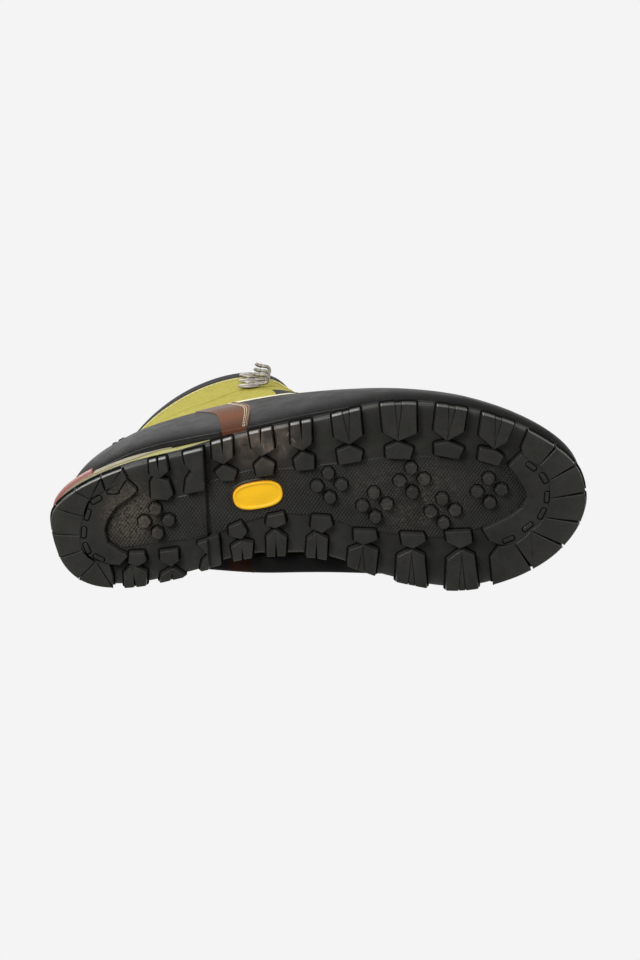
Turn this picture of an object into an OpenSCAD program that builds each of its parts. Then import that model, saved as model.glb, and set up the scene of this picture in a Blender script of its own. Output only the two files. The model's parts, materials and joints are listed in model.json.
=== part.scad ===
// A right-foot mountaineering boot: lugged outsole, layered midsole, rubber rand, suede upper with a
// flexing cuff, folding tongue, hanging pull loop and lift-out footbed.
// +X runs from heel to toe, +Z is up, the outer (lateral) side faces -Y. Millimetres.

/* [Sole] */
// Depth of the tread blocks
lug_h = 5; // [3:0.5:6]
// Rubber between the tread blocks and the midsole
base_h = 4; // [3:0.5:6]
// How far the toe of the sole curls up
toe_spring = 11; // [6:1:14]
// Height of the waist of the sole above the ground
arch_lift = 3; // [1:0.5:4]
// Length of the oval inlay in the waist
inlay_len = 28; // [22:1:32]
// Width of the oval inlay in the waist
inlay_w = 16; // [12:1:18]

/* [Upper] */
// Thickness of the suede and rubber skins
skin = 1.8; // [1.4:0.1:2.2]
// Thickness of the rubber rand that wraps the skin
rand_h = 2; // [1.5:0.1:2.5]
// Thickness of the padded lining
lining_h = 3; // [2:0.5:4]
// Width of the tongue at its top
tongue_w = 36; // [30:1:38]

/* [Hardware] */
// Diameter of the lace hook wire
hook_d = 2.2; // [2:0.2:3]
// Width of the heel pull loop webbing
loop_w = 10; // [8:1:14]

/* [Hidden] */

// ---- Plan outlines: toe tip, down the lateral side to the heel, and back up the medial side ----
sole_ctrl = [[150, 7], [145, -12], [130, -28], [106, -43], [75, -53], [39, -56], [0, -48.5], [-39, -40.5],
             [-75, -31.5], [-106, -24.5], [-131, -14.5], [-146, -3], [-150, 9], [-145, 31], [-130, 44],
             [-106, 46.5], [-75, 41], [-39, 32.5], [0, 33.5], [39, 48], [75, 55.5], [106, 50.5],
             [130, 39.5], [145, 24]];
last_ctrl = [[148, 7], [143, -12], [128, -28], [104, -42], [75, -51], [39, -54], [0, -50], [-39, -43],
             [-75, -35.5], [-106, -27.5], [-130, -16.5], [-144, -4], [-148, 9], [-143, 28], [-129, 41],
             [-106, 46], [-75, 47], [-39, 48.5], [0, 49.5], [39, 52], [75, 54], [104, 49],
             [128, 39], [143, 23]];
heel_x = -150;
toe_x = 150;

function mix(a, b, w) = a + (b - a) * w;
function clamp01(w) = min(1, max(0, w));
function ease(w) = let (c = clamp01(w)) c * c * (3 - 2 * c);
function spline(p0, p1, p2, p3, w) =
    0.5 * (2 * p1 + (p2 - p0) * w + (2 * p0 - 5 * p1 + 4 * p2 - p3) * w * w
           + (3 * p1 - p0 - 3 * p2 + p3) * w * w * w);
// A point on the closed spline through ctrl, for u from 0 to 1
function around(ctrl, u) =
    let (n = len(ctrl), s = (u - floor(u)) * n, i = floor(s))
    spline(ctrl[(i + n - 1) % n], ctrl[i % n], ctrl[(i + 1) % n], ctrl[(i + 2) % n], s - i);
// The same outline, moved inwards by d
function inset_point(ctrl, u, d) =
    let (a = around(ctrl, u - 0.004), b = around(ctrl, u + 0.004), t = (b - a) / norm(b - a))
    around(ctrl, u) + d * [t[1], -t[0]];
function inset_outline(ctrl, d, n = 72) = [for (i = [0 : n - 1]) inset_point(ctrl, i / n, d)];

// ---- Side profile of the sole ----
ball_x = 85;
breast_x = -63;
function spring_z(x) = toe_spring * pow(clamp01((x - ball_x) / (toe_x - ball_x)), 1.9);
function ground_z(x) =
    x < breast_x ? 3 * pow(clamp01((-134 - x) / 16), 2)
                 : arch_lift * (1 - ease((x + 40) / 55)) + spring_z(x);
function base_z(x) = ground_z(x) + lug_h;
heel_stack = 24.5;
ball_stack = 13.5;
function stack_z(x) = mix(heel_stack, ball_stack, ease((x + 106) / 80)) + spring_z(x);
outsole_top_heel = 11;
function outsole_top_z(x) =
    mix(outsole_top_heel, lug_h + base_h, ease((x + 70) / 60)) + arch_lift * 0.8 * ease((x + 75) / 20)
    * (1 - ease((x + 40) / 55)) + spring_z(x);
profile_xs = [for (x = [heel_x - 2 : 8 : toe_x + 10]) x];

module slab(low, high, xs = profile_xs, y0 = -70, y1 = 70) {
    // The space between two side profiles, given as lists of heights at xs
    translate([0, y1, 0]) rotate([90, 0, 0]) linear_extrude(y1 - y0)
        polygon(concat([for (i = [0 : len(xs) - 1]) [xs[i], low[i]]],
                       [for (i = [len(xs) - 1 : -1 : 0]) [xs[i], high[i]]]));
}
module plan(points, z0 = -5, z1 = 60) {
    translate([0, 0, z0]) linear_extrude(z1 - z0) polygon(points);
}

// ---- Tread ----
toe_hub = [100, 2];
heel_hub = [-111, 10];
// [x on the edge, width, depth to the shoulder] of each house-shaped edge block
lateral_blocks = [[-88, 12, 10], [-52, 11, 10], [-31, 12, 11], [-8, 11, 12], [17, 14, 13], [45, 18, 15.5],
                  [74, 16, 14], [99, 16, 12.5]];
medial_blocks = [[-105, 13, 7], [-84, 11, 6.5], [-45, 11, 8.5], [-25, 11, 10], [-2, 11, 11], [24, 14, 13],
                 [51, 16, 18], [79, 17, 18.5]];
stud_groups = [[-91, 8], [6, -10], [31, 3], [52, -11], [69, 8], [95, -2]];
heel_slits = [250, 223, 197, 172, 151, 128];
toe_slits = [-39, -19, 1, 23, 44, 69];

// Where the sole edge crosses x: u on the lateral (side -1) or the medial (side 1) half
function edge_u(x, side, lo = 0, hi = 0.5, n = 14) =
    n == 0 ? (side < 0 ? (lo + hi) / 2 : 1 - (lo + hi) / 2)
    : let (m = (lo + hi) / 2, p = around(sole_ctrl, side < 0 ? m : 1 - m))
      p[0] > x ? edge_u(x, side, m, hi, n - 1) : edge_u(x, side, lo, m, n - 1);

module edge_block(x, side, w, d) {
    u = edge_u(x, side);
    p = around(sole_ctrl, u);
    q = inset_point(sole_ctrl, u, 1);
    turn = atan2(q[1] - p[1], q[0] - p[0]);
    translate(p) rotate(turn) {
        difference() {
            polygon([[-4, -w / 2], [-4, w / 2], [d, w / 2], [d + 4.5, 0], [d, -w / 2]]);
            polygon([[-5, -0.9], [-5, 0.9], [d * 0.75, 0.3], [d * 0.75, -0.3]]);
        }
        polygon([[d + 5.3, 0], [d + 9, w / 2], [d + 15, w * 0.42], [d + 15, -w * 0.42], [d + 9, -w / 2]]);
    }
}
module hub_disc(hub, rx, ry) {
    polygon([for (a = [0 : 10 : 350]) hub + [rx * cos(a), ry * sin(a)]]);
}
module slit(hub, angle, w) {
    translate(hub) rotate(angle) translate([10, -w / 2]) square([70, w]);
}
module ring_blocks(hub, ring, slits, slit_w, clip) {
    // The outer blocks round the toe or the heel, cut by radial slits
    intersection() {
        polygon(inset_outline(sole_ctrl, 0, 120));
        difference() {
            polygon(clip);
            hub_disc(hub, ring[0], ring[1]);
            for (a = slits) slit(hub, a, slit_w);
        }
    }
}
module stud_cross(c) {
    for (a = [0 : 90 : 270]) translate(c) rotate(a) translate([7.6, 0]) rotate(45)
        square([5.2, 5.2], center = true);
}
module tread_plan() {
    for (b = lateral_blocks) intersection() {
        edge_block(b[0], -1, b[1], b[2]);
        polygon(inset_outline(sole_ctrl, 0, 120));
    }
    for (b = medial_blocks) intersection() {
        edge_block(b[0], 1, b[1], b[2]);
        polygon(inset_outline(sole_ctrl, 0, 120));
    }
    for (c = stud_groups) stud_cross(c);
    ring_blocks(toe_hub, [30, 27], toe_slits, 1.6,
                [[114, -60], [111, -24], [97, 2], [98, 32], [96, 70], [160, 70], [160, -60]]);
    ring_blocks(heel_hub, [23, 23], heel_slits, 1.1,
                [[-109, -60], [-105, -18], [-111, -10], [-111, 10], [-119, 31], [-117, 70], [-160, 70],
                 [-160, -60]]);
    difference() {
        hub_disc(toe_hub, 26.5, 23.5);
        hub_disc([90, 0], 26, 20);
        polygon([[60, -40], [108, -40], [105, -14], [92, 0], [93, 40], [60, 40]]);
    }
    difference() {
        hub_disc(heel_hub, 20.5, 20.5);
        hub_disc([-106, 12], 14.5, 14.5);
        polygon([[-80, -30], [-103, -30], [-104, 10], [-114, 26], [-112, 40], [-80, 40]]);
    }
    polygon([[-74, -33], [-64, -35], [-64, -10], [-75, -8], [-73, -17], [-70, -21], [-74, -25]]);
    polygon([[-67, 38.5], [-56, 35.5], [-57, 18], [-69, 22], [-66, 26], [-63, 29], [-67, 33]]);
}
module outsole() color([0.13, 0.13, 0.12]) {
    intersection() {
        translate([0, 0, -1]) linear_extrude(40) tread_plan();
        slab([for (x = profile_xs) ground_z(x)], [for (x = profile_xs) base_z(x) + 1]);
    }
    difference() {
        intersection() {
            plan(inset_outline(sole_ctrl, 1.2));
            slab([for (x = profile_xs) base_z(x)], [for (x = profile_xs) outsole_top_z(x)]);
        }
        translate(inlay_at) rotate(inlay_turn) inlay_body(0.05, 3);
    }
}
inlay_at = [-34, -4, arch_lift + lug_h - 1.2];
inlay_turn = -8;
module inlay_body(grow, h) {
    // A stadium, so its ends are true cylinders
    r = inlay_w / 2 + grow;
    c = inlay_len / 2 - inlay_w / 2;
    translate([-c, 0, 0]) cylinder(r = r, h = h, $fn = 64);
    translate([c, 0, 0]) cylinder(r = r, h = h, $fn = 64);
    translate([-c, -r, 0]) cube([2 * c, 2 * r, h]);
}
module sole_inlay() color([1, 0.68, 0.06])
    translate(inlay_at) rotate(inlay_turn) inlay_body(0, 2.9);

module layer(low, high, inset, xs) {
    intersection() {
        plan(inset_outline(sole_ctrl, inset), -5, 60);
        slab(low, high, xs);
    }
}
gap = 0.05;
mid_end = -38;
mid_xs = concat([for (x = profile_xs) if (x < mid_end - 1) x], [mid_end]);
frame_end = -80;
welt_z = 19.5;
frame_xs = concat([for (x = profile_xs) if (x < frame_end - 1) x], [frame_end]);
front_xs = concat([mid_end + 0.4], [for (x = profile_xs) if (x > mid_end + 1) x]);
// Top of the yellow wedge: full under the heel frame, then rising to the board
function wedge_z(x) =
    x > frame_end ? stack_z(x) : min(17 + 8 * clamp01((x - frame_end + 22) / 24), stack_z(x) - 1);
module midsole() color([0.80, 0.76, 0.38])
    layer([for (x = mid_xs) outsole_top_z(x) + gap], [for (x = mid_xs) wedge_z(x) - gap], 1.6, mid_xs);
module heel_frame() color([0.73, 0.68, 0.58])
    difference() {
        layer([for (x = frame_xs) wedge_z(x)], [for (x = frame_xs) stack_z(x) - gap], 1.4, frame_xs);
        welt_space(gap);
    }
module welt_space(grow) {
    // The ledge for a crampon heel clip wraps the back of the heel
    difference() {
        translate([-160, -60, welt_z - grow]) cube([160 - 124 + grow, 120, 20]);
        translate([-111, 9, 0]) cylinder(r = 31 - grow, h = 60, $fn = 96);
    }
}
module heel_welt() color([0.55, 0.13, 0.10])
    intersection() {
        layer([for (x = frame_xs) welt_z], [for (x = frame_xs) stack_z(x)], -0.6, frame_xs);
        welt_space(0);
    }
module forefoot_midsole() color([0.14, 0.14, 0.13])
    layer([for (x = front_xs) outsole_top_z(x) + gap], [for (x = front_xs) stack_z(x) - gap], 3, front_xs);
// The insole board closes the bottom of the upper, with the shank and the footbed above it
board_h = 2;
shank_h = 1.2;
footbed_h = 4.5;
board_xs = profile_xs;
module shank() color([0.62, 0.63, 0.65])
    intersection() {
        translate([-105, -4, 10]) linear_extrude(60)
            polygon([[0, 4], [4, 0], [80, -4], [190, -12], [194, -8], [194, 20], [190, 24], [80, 16], [4, 16],
                     [0, 12]]);
        slab([for (x = board_xs) stack_z(x) + board_h + gap],
             [for (x = board_xs) stack_z(x) + board_h + shank_h], board_xs);
    }
// The heel of the upper stands a little in from the sole, so these layers are shorter at the heel
heel_step = 6.4;
module last_plan(d) {
    intersection() {
        plan(inset_outline(last_ctrl, d), 0, 80);
        translate([heel_step, 0, 0]) plan(inset_outline(last_ctrl, d), 0, 80);
    }
}
module lasting_board() color([0.72, 0.62, 0.45])
    intersection() {
        last_plan(0.8);
        slab([for (x = board_xs) stack_z(x)], [for (x = board_xs) stack_z(x) + board_h], board_xs);
    }
module footbed() color([0.35, 0.36, 0.38])
    intersection() {
        last_plan(10.4);
        slab([for (x = board_xs) stack_z(x) + board_h + shank_h + 0.3],
             [for (x = board_xs) stack_z(x) + board_h + shank_h + 0.3 + footbed_h], board_xs);
    }

// ---- Skin of the upper: rings from the sole edge (t = 0) to the collar (t = 1) ----
// Each ring runs from the back line to the front line; u goes round it from the toe, lateral side first
back_line = [[-141.5, 32], [-141, 43], [-139, 57], [-135, 70], [-129.5, 83], [-123.5, 97],
             [-117.8, 112], [-115, 130], [-114.5, 150]];
front_line = [[146, 27], [147.5, 39], [137, 55], [108, 67], [72, 79], [38, 95], [12, 112], [-5, 137],
              [-14, 164]];
mid_y = 9;
shaft_half = 38.5;
function knot(line, t) =
    let (n = len(line) - 1, s = clamp01(t) * n, i = min(n - 1, floor(s)))
    spline(line[max(0, i - 1)], line[i], line[i + 1], line[min(n, i + 2)], s - i);
function shaft_y(s) = shaft_half * pow(1 - pow(1 - s, 3), 0.95) * pow(1 - pow(s, 7), 0.35);
function skin_at(u, t) =
    let (p = around(last_ctrl, u), s = clamp01((p[0] + 148) / 296), side = u - floor(u) < 0.5 ? -1 : 1,
         q = mix(knot(back_line, t), knot(front_line, t), s),
         sag = mix(back_line[0][1], front_line[0][1], s) - stack_z(q[0]) - board_h - 0.1,
         low = mid_y + (p[1] - mid_y) * (1 - 0.15 * t) * (1 - 0.38 * pow(sin(180 * t), 2) * pow(s, 3)),
         high = mid_y + 3 - 3.5 * s + side * shaft_y(s))
    [q[0], mix(low, high, pow(clamp01((t - 0.15) / 0.85), 1.25)), q[1] - sag * pow(1 - clamp01(t / 0.4), 1.5)];
function skin_normal(u, t) =
    let (a = skin_at(u + 0.006, t) - skin_at(u - 0.006, t),
         b = skin_at(u, min(1, t + 0.02)) - skin_at(u, max(0, t - 0.02)), c = cross(b, a))
    c / norm(c);
// A point d outside the skin
function off_skin(u, t, d) = skin_at(u, t) + d * skin_normal(u, t);

// u where ring t crosses x, on the lateral (-1) or medial (1) side
function u_at_x(x, t, side, lo = 0, hi = 0.5, n = 12) =
    n == 0 ? (side < 0 ? (lo + hi) / 2 : 1 - (lo + hi) / 2)
    : let (m = (lo + hi) / 2)
      skin_at(side < 0 ? m : 1 - m, t)[0] > x ? u_at_x(x, t, side, m, hi, n - 1)
                                              : u_at_x(x, t, side, lo, m, n - 1);
// u where ring t is g away from the middle of the throat
function u_at_gap(g, t, side, lo = 0, hi = 0.3, n = 12) =
    n == 0 ? (side < 0 ? (lo + hi) / 2 : 1 - (lo + hi) / 2)
    : let (m = (lo + hi) / 2)
      abs(skin_at(side < 0 ? m : 1 - m, t)[1] - mid_y) < g ? u_at_gap(g, t, side, m, hi, n - 1)
                                                           : u_at_gap(g, t, side, lo, m, n - 1);
// t where the column u meets the line z(x) given as a lookup table
function t_at_line(u, line, lo = 0, hi = 1, n = 12) =
    n == 0 ? (lo + hi) / 2
    : let (m = (lo + hi) / 2, p = skin_at(u, m))
      p[2] < lookup(p[0], line) ? t_at_line(u, line, m, hi, n - 1) : t_at_line(u, line, lo, m, n - 1);

// A curved plate on the skin: columns from edge ua to edge ub, each [u at the bottom, u at the top],
// rows from ta(u) to tb(u), between the depths d0 and d1
module plate(ua, ub, ta, tb, d0, d1, nu, nt) {
    n = nt + 1;
    m = (nu + 1) * n;
    uv = [for (i = [0 : nu]) for (j = [0 : nt])
              let (v = j / nt, u = mix(mix(ua[0], ua[1], v), mix(ub[0], ub[1], v), i / nu))
              [u, mix(ta(u), tb(u), v)]];
    pts = concat([for (q = uv) off_skin(q[0], q[1], d1)], [for (q = uv) off_skin(q[0], q[1], d0)]);
    function quad(a, b, c, d) = [[a, b, c], [a, c, d]];
    faces = concat(
        [for (i = [0 : nu - 1]) for (j = [0 : nt - 1]) let (a = i * n + j)
             each quad(a, a + 1, a + n + 1, a + n)],
        [for (i = [0 : nu - 1]) for (j = [0 : nt - 1]) let (a = m + i * n + j)
             each quad(a, a + n, a + n + 1, a + 1)],
        [for (i = [0 : nu - 1]) let (a = i * n) each quad(a, a + n, a + n + m, a + m)],
        [for (i = [0 : nu - 1]) let (a = i * n + nt) each quad(a, a + m, a + n + m, a + n)],
        [for (j = [0 : nt - 1]) each quad(j, j + m, j + m + 1, j + 1)],
        [for (j = [0 : nt - 1]) let (a = nu * n + j) each quad(a, a + 1, a + m + 1, a + m)]);
    polyhedron(points = pts, faces = faces);
}

// Seams, as heights above points along X
rand_line = [[-160, 86], [-130, 80], [-100, 77], [-60, 75], [-20, 71], [20, 62], [60, 54], [100, 51],
             [160, 60]];
flex_pivot = [-62, 102];
flex_low = [[-160, 98], flex_pivot - [0, 1.5], [20, 114]];
flex_high = [[-160, 115], flex_pivot + [0, 1.5], [-40, 113], [0, 130]];
throat_t = 0.5;
collar_t = 0.93;
edge = 0.004;
function gap_g(t) = mix(9, 20, clamp01((t - throat_t) / (1 - throat_t)));
low_u_lat = [u_at_x(-55, 0.1, -1), u_at_x(-70, 0.38, -1)];
low_u_lat2 = [u_at_x(-42, 0.1, -1), u_at_x(-51, 0.38, -1)];
low_u_med = [u_at_x(-55, 0.1, 1), u_at_x(-70, 0.38, 1)];
low_u_med2 = [u_at_x(-42, 0.1, 1), u_at_x(-51, 0.38, 1)];
seam_lat = u_at_x(-36, 0.45, -1);
seam_med = u_at_x(-36, 0.45, 1);
bottom = function(u) 0.004;
rand_top = function(u) t_at_line(u, rand_line);
above_rand = function(u) t_at_line(u, rand_line) + edge;
low_flex = function(u) t_at_line(u, flex_low) - edge;
high_flex = function(u) t_at_line(u, flex_high) + edge;
at_throat = function(u) throat_t - edge;
past_throat = function(u) throat_t + edge;
at_collar = function(u) collar_t - edge;
past_collar = function(u) collar_t + edge;
at_top = function(u) 1;

black = [0.10, 0.10, 0.10];
suede = [0.78, 0.73, 0.38];
module toe_rand() color(black)
    plate(low_u_lat2 - [edge, edge], low_u_med2 + [edge - 1, edge - 1], bottom, rand_top, -1.4, rand_h, 40, 4);
module heel_rand() color(black)
    plate(low_u_lat + [edge, edge], low_u_med - [edge, edge], bottom, rand_top, -1.4, rand_h, 26, 4);
module side_patch_lateral() color([0.55, 0.34, 0.22])
    plate(low_u_lat2, low_u_lat, bottom, rand_top, -1.4, rand_h + 0.6, 4, 4);
module side_patch_medial() color([0.45, 0.24, 0.18])
    plate(low_u_med, low_u_med2, bottom, rand_top, -1.4, rand_h + 0.6, 4, 4);
module vamp() color(black)
    plate([seam_lat, seam_lat], [seam_med - 1, seam_med - 1], above_rand, at_throat, -skin, 0, 36, 5);

// Flaps beside the throat: from the seam with the quarter to the throat edge, below the flex line
module instep_flap(side) {
    seam = side < 0 ? seam_lat : seam_med;
    u0 = u_at_gap(gap_g(throat_t) + 1, throat_t, side);
    u1 = u_at_gap(gap_g(0.73) + 1, 0.73, side);
    if (side < 0) plate([u0, u1], [seam, seam], past_throat, low_flex, -skin, 0, 8, 5);
    else plate([seam, seam], [u0, u1], past_throat, low_flex, -skin, 0, 8, 5);
}
module facing_lateral() color(black) instep_flap(-1);
module facing_medial() color(black) instep_flap(1);
module quarter_lateral() color(suede)
    plate([seam_lat + edge, seam_lat + edge], [0.5 - edge, 0.5 - edge], above_rand, low_flex, -skin, 0, 12, 3);
module quarter_medial() color(suede)
    plate([0.5 + edge, 0.5 + edge], [seam_med - edge, seam_med - edge], above_rand, low_flex, -skin, 0, 12, 3);

// Cuff: suede sides behind a black facing strip, below the padded collar
function strip_u(side, t, back) = u_at_x(knot(front_line, t)[0] - back, t, side);
function front_u(side, t) = u_at_gap(gap_g(t) + 1, t, side);
t_low = 0.80;
module cuff_side(side) {
    a = [strip_u(side, t_low, 18), strip_u(side, collar_t, 15)];
    if (side < 0) plate(a + [edge, edge], [0.5 - edge, 0.5 - edge], high_flex, at_collar, -skin, 0, 12, 4);
    else plate([0.5 + edge, 0.5 + edge], a - [edge, edge], high_flex, at_collar, -skin, 0, 12, 4);
}
module cuff_strip(side) {
    a = [strip_u(side, t_low, 18), strip_u(side, collar_t, 15)];
    b = [front_u(side, t_low), front_u(side, collar_t)];
    if (side < 0) plate(b, a, high_flex, at_collar, -skin, 0.6, 4, 4);
    else plate(a, b, high_flex, at_collar, -skin, 0.6, 4, 4);
}
module cuff_lateral() color(suede) cuff_side(-1);
module cuff_medial() color(suede) cuff_side(1);
module cuff_facing_lateral() color(black) cuff_strip(-1);
module cuff_facing_medial() color(black) cuff_strip(1);
module ankle_flex_panel() color(suede)
    plate([front_u(-1, 0.76), front_u(-1, 0.79)], [front_u(1, 0.76), front_u(1, 0.79)],
          function(u) t_at_line(u, flex_low) + edge, function(u) t_at_line(u, flex_high) - 2 * edge,
          -skin, 0, 30, 2);
module collar() color(black)
    plate([front_u(-1, collar_t), front_u(-1, 1)], [front_u(1, collar_t), front_u(1, 1)], past_collar, at_top,
          -5, 1.5, 30, 3);
module backstay() color(black)
    plate([0.488, 0.488], [0.512, 0.512], high_flex, at_collar, 0.1, 1.6, 4, 4);

// Lining and stiffeners
lining_out = -3.9;
module heel_counter() color([0.85, 0.83, 0.78])
    plate([u_at_x(-75, 0.1, -1), u_at_x(-90, 0.4, -1)], [u_at_x(-75, 0.1, 1), u_at_x(-90, 0.4, 1)],
          function(u) 0.02, function(u) 0.42, -3.1, -skin - 0.5, 20, 3);
module toe_puff() color([0.85, 0.83, 0.78])
    plate([u_at_x(95, 0.1, -1), u_at_x(100, 0.24, -1)], [u_at_x(95, 0.1, 1) - 1, u_at_x(100, 0.24, 1) - 1],
          function(u) 0.02, function(u) 0.27, -3.1, -skin - 0.5, 20, 3);
module lining_foot() color([0.20, 0.20, 0.21]) {
    plate([0.01, 0.02], [0.99, 0.98], function(u) 0.015, at_throat, lining_out - lining_h, lining_out, 40, 5);
    plate([u_at_gap(gap_g(throat_t) + 2, throat_t, -1), u_at_gap(gap_g(0.73) + 2, 0.73, -1)],
          [u_at_gap(gap_g(throat_t) + 2, throat_t, 1), u_at_gap(gap_g(0.73) + 2, 0.73, 1)],
          past_throat, low_flex, lining_out - lining_h, lining_out, 30, 3);
}
module lining_cuff() color([0.20, 0.20, 0.21])
    plate([front_u(-1, t_low) + 0.004, front_u(-1, collar_t) + 0.004],
          [front_u(1, t_low) - 0.004, front_u(1, collar_t) - 0.004], high_flex, at_collar,
          lining_out - lining_h, -skin - 0.6, 30, 4);

// Tongue: follows the front line from the throat to above the collar
tongue_ts = [for (i = [0 : 10]) mix(throat_t + 0.012, 1, i / 10)];
function tongue_half(t) = min(tongue_w / 2, gap_g(t) - 1.6);
function tongue_xz(t, d) =
    let (a = knot(front_line, max(0, t - 0.02)), b = knot(front_line, min(1, t + 0.02)), k = (b - a) / norm(b - a))
    knot(front_line, t) - d * [k[1], -k[0]];
module tongue_layer(d0, d1, shrink, rise) {
    ts = tongue_ts;
    n = len(ts);
    rows = concat([for (t = ts) [tongue_xz(t, d0), tongue_xz(t, d1), tongue_half(t) - shrink]],
                  [[tongue_xz(1, d0) + [-2, rise], tongue_xz(1, d1) + [-2, rise], tongue_half(1) - shrink - 5]]);
    m = len(rows);
    pts = [for (r = rows) each [[r[0][0], mid_y - r[2], r[0][1]], [r[0][0], mid_y + r[2], r[0][1]],
                                [r[1][0], mid_y + r[2], r[1][1]], [r[1][0], mid_y - r[2], r[1][1]]]];
    polyhedron(points = pts, faces = concat([[0, 1, 2], [0, 2, 3]],
        [for (i = [0 : m - 2]) for (k = [0 : 3]) let (a = 4 * i + k, b = 4 * i + (k + 1) % 4)
             each [[a, a + 4, b + 4], [a, b + 4, b]]],
        [[4 * m - 4, 4 * m - 2, 4 * m - 3], [4 * m - 4, 4 * m - 1, 4 * m - 2]]));
}
module tongue() color([0.13, 0.13, 0.13]) tongue_layer(0.4, 2.4, 0, 9);
module tongue_pad() color([0.22, 0.22, 0.23]) tongue_layer(2.5, 8, 1.5, 7);

// Hardware on the skin: x points forward along the skin, z points out of it
module on_skin(u, t, d = 0) {
    p = off_skin(u, t, d);
    n = skin_normal(u, t);
    yaw = atan2(n[1], n[0]);
    lean = acos(n[2]);
    translate(p) rotate([0, lean, yaw]) children();
}
// Ring, and height above the skin, of each hook; the top one sits on the collar
hook_ts = [[0.772, 0.35], [0.865, 0.35], [0.94, 1.5]];
hook_x = -34.5;
function hook_u(side, t) = u_at_x(hook_x, t, side);
module wire_bend(r) {
    rotate_extrude(angle = 180, $fn = 48) translate([r, 0]) circle(d = hook_d, $fn = 24);
}
module lace_hook(side) {
    // A pointed leaf lies on the cuff; its wire runs forward, turns outwards and comes back over the leaf
    r = 2.5;
    f = -side;
    z0 = 1.2 + hook_d / 2 - 0.4;
    linear_extrude(1.2) polygon([[0, -11.5 * f], [-2.5, -7 * f], [-2.8, -2 * f], [-1.2, 2 * f], [1.2, 2 * f],
                                 [2.8, -2 * f], [2.5, -7 * f]]);
    translate([0, -1 * f, z0]) rotate([-90 * f, 0, 0]) cylinder(d = hook_d + 0.3, h = 5.8, $fn = 24);
    translate([0, 4.5 * f, z0 + r]) rotate([0, 90, 0]) rotate(f > 0 ? 0 : 180) wire_bend(r);
    translate([0, 4.8 * f, z0 + 2 * r]) rotate([78 * f, 0, 0]) cylinder(d = hook_d - 0.3, h = 6, $fn = 24);
    translate([0, 4.8 * f, z0 + 2 * r]) rotate([78 * f, 0, 0]) translate([0, 0, 6]) sphere(d = 3.2, $fn = 32);
}
module hook_set(side) {
    for (h = hook_ts) on_skin(hook_u(side, h[0]), h[0], h[1]) lace_hook(side);
}
module lace_hooks_lateral() color([0.62, 0.60, 0.57]) hook_set(-1);
module lace_hooks_medial() color([0.62, 0.60, 0.57]) hook_set(1);
module hook_rivets() color([0.50, 0.48, 0.45])
    for (side = [-1, 1]) for (h = hook_ts) on_skin(hook_u(side, h[0]), h[0], h[1])
        translate([0, 5 * side, 1.25]) cylinder(d1 = 3.6, d2 = 2.6, h = 0.6, $fn = 32);

loop_ts = [0.535, 0.585, 0.635, 0.685];
function loop_u(side, t) = u_at_gap(gap_g(t) + 7, t, side);
module lace_loop(side) {
    // A small plate with a D-shaped eye that the lace runs through
    translate([-4.5, -4, 0]) cube([9, 8, 1.2]);
    translate([0, 0, 1.2]) rotate([0, 0, 90]) rotate([90, 0, 0])
        rotate_extrude(angle = 180, $fn = 40) translate([3.3, 0]) circle(d = 2, $fn = 20);
}
module lace_loops() color([0.16, 0.16, 0.16])
    for (side = [-1, 1]) for (t = loop_ts) on_skin(loop_u(side, t), t, 0.25) lace_loop(side);

// Webbing loop that hangs from the back of the collar
loop_pivot = [-119.2, 11.5, 137];
module pull_loop() color([0.12, 0.12, 0.12]) translate(loop_pivot) {
    h = 19.5;
    r = 2.6;
    difference() {
        union() {
            translate([-2 * r, -loop_w / 2, -h]) cube([2 * r, loop_w, h - 0.5]);
            translate([-r, loop_w / 2, -h]) rotate([90, 0, 0]) cylinder(r = r, h = loop_w, $fn = 48);
        }
        translate([-2 * r + 1.4, -loop_w / 2 - 1, -h]) cube([2 * r - 2.8, loop_w + 2, h - 4]);
        translate([-r, loop_w / 2 + 1, -h]) rotate([90, 0, 0]) cylinder(r = r - 1.4, h = loop_w + 2, $fn = 48);
    }
}
module loop_anchor() color([0.12, 0.12, 0.12])
    translate(loop_pivot) translate([-1.8, -loop_w / 2 - 1, 0]) cube([3.9, loop_w + 2, 4]);

outsole();
sole_inlay();
midsole();
forefoot_midsole();
heel_frame();
heel_welt();
shank();
lasting_board();
footbed();
toe_rand();
heel_rand();
side_patch_lateral();
side_patch_medial();
vamp();
quarter_lateral();
quarter_medial();
facing_lateral();
facing_medial();
ankle_flex_panel();
cuff_lateral();
cuff_medial();
cuff_facing_lateral();
cuff_facing_medial();
backstay();
collar();
heel_counter();
toe_puff();
lining_foot();
lining_cuff();
tongue();
tongue_pad();
lace_loops();
lace_hooks_lateral();
lace_hooks_medial();
hook_rivets();
pull_loop();
loop_anchor();
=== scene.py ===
import json
import math
import bmesh
import bpy
import numpy as np
from mathutils import Vector, Matrix

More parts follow.
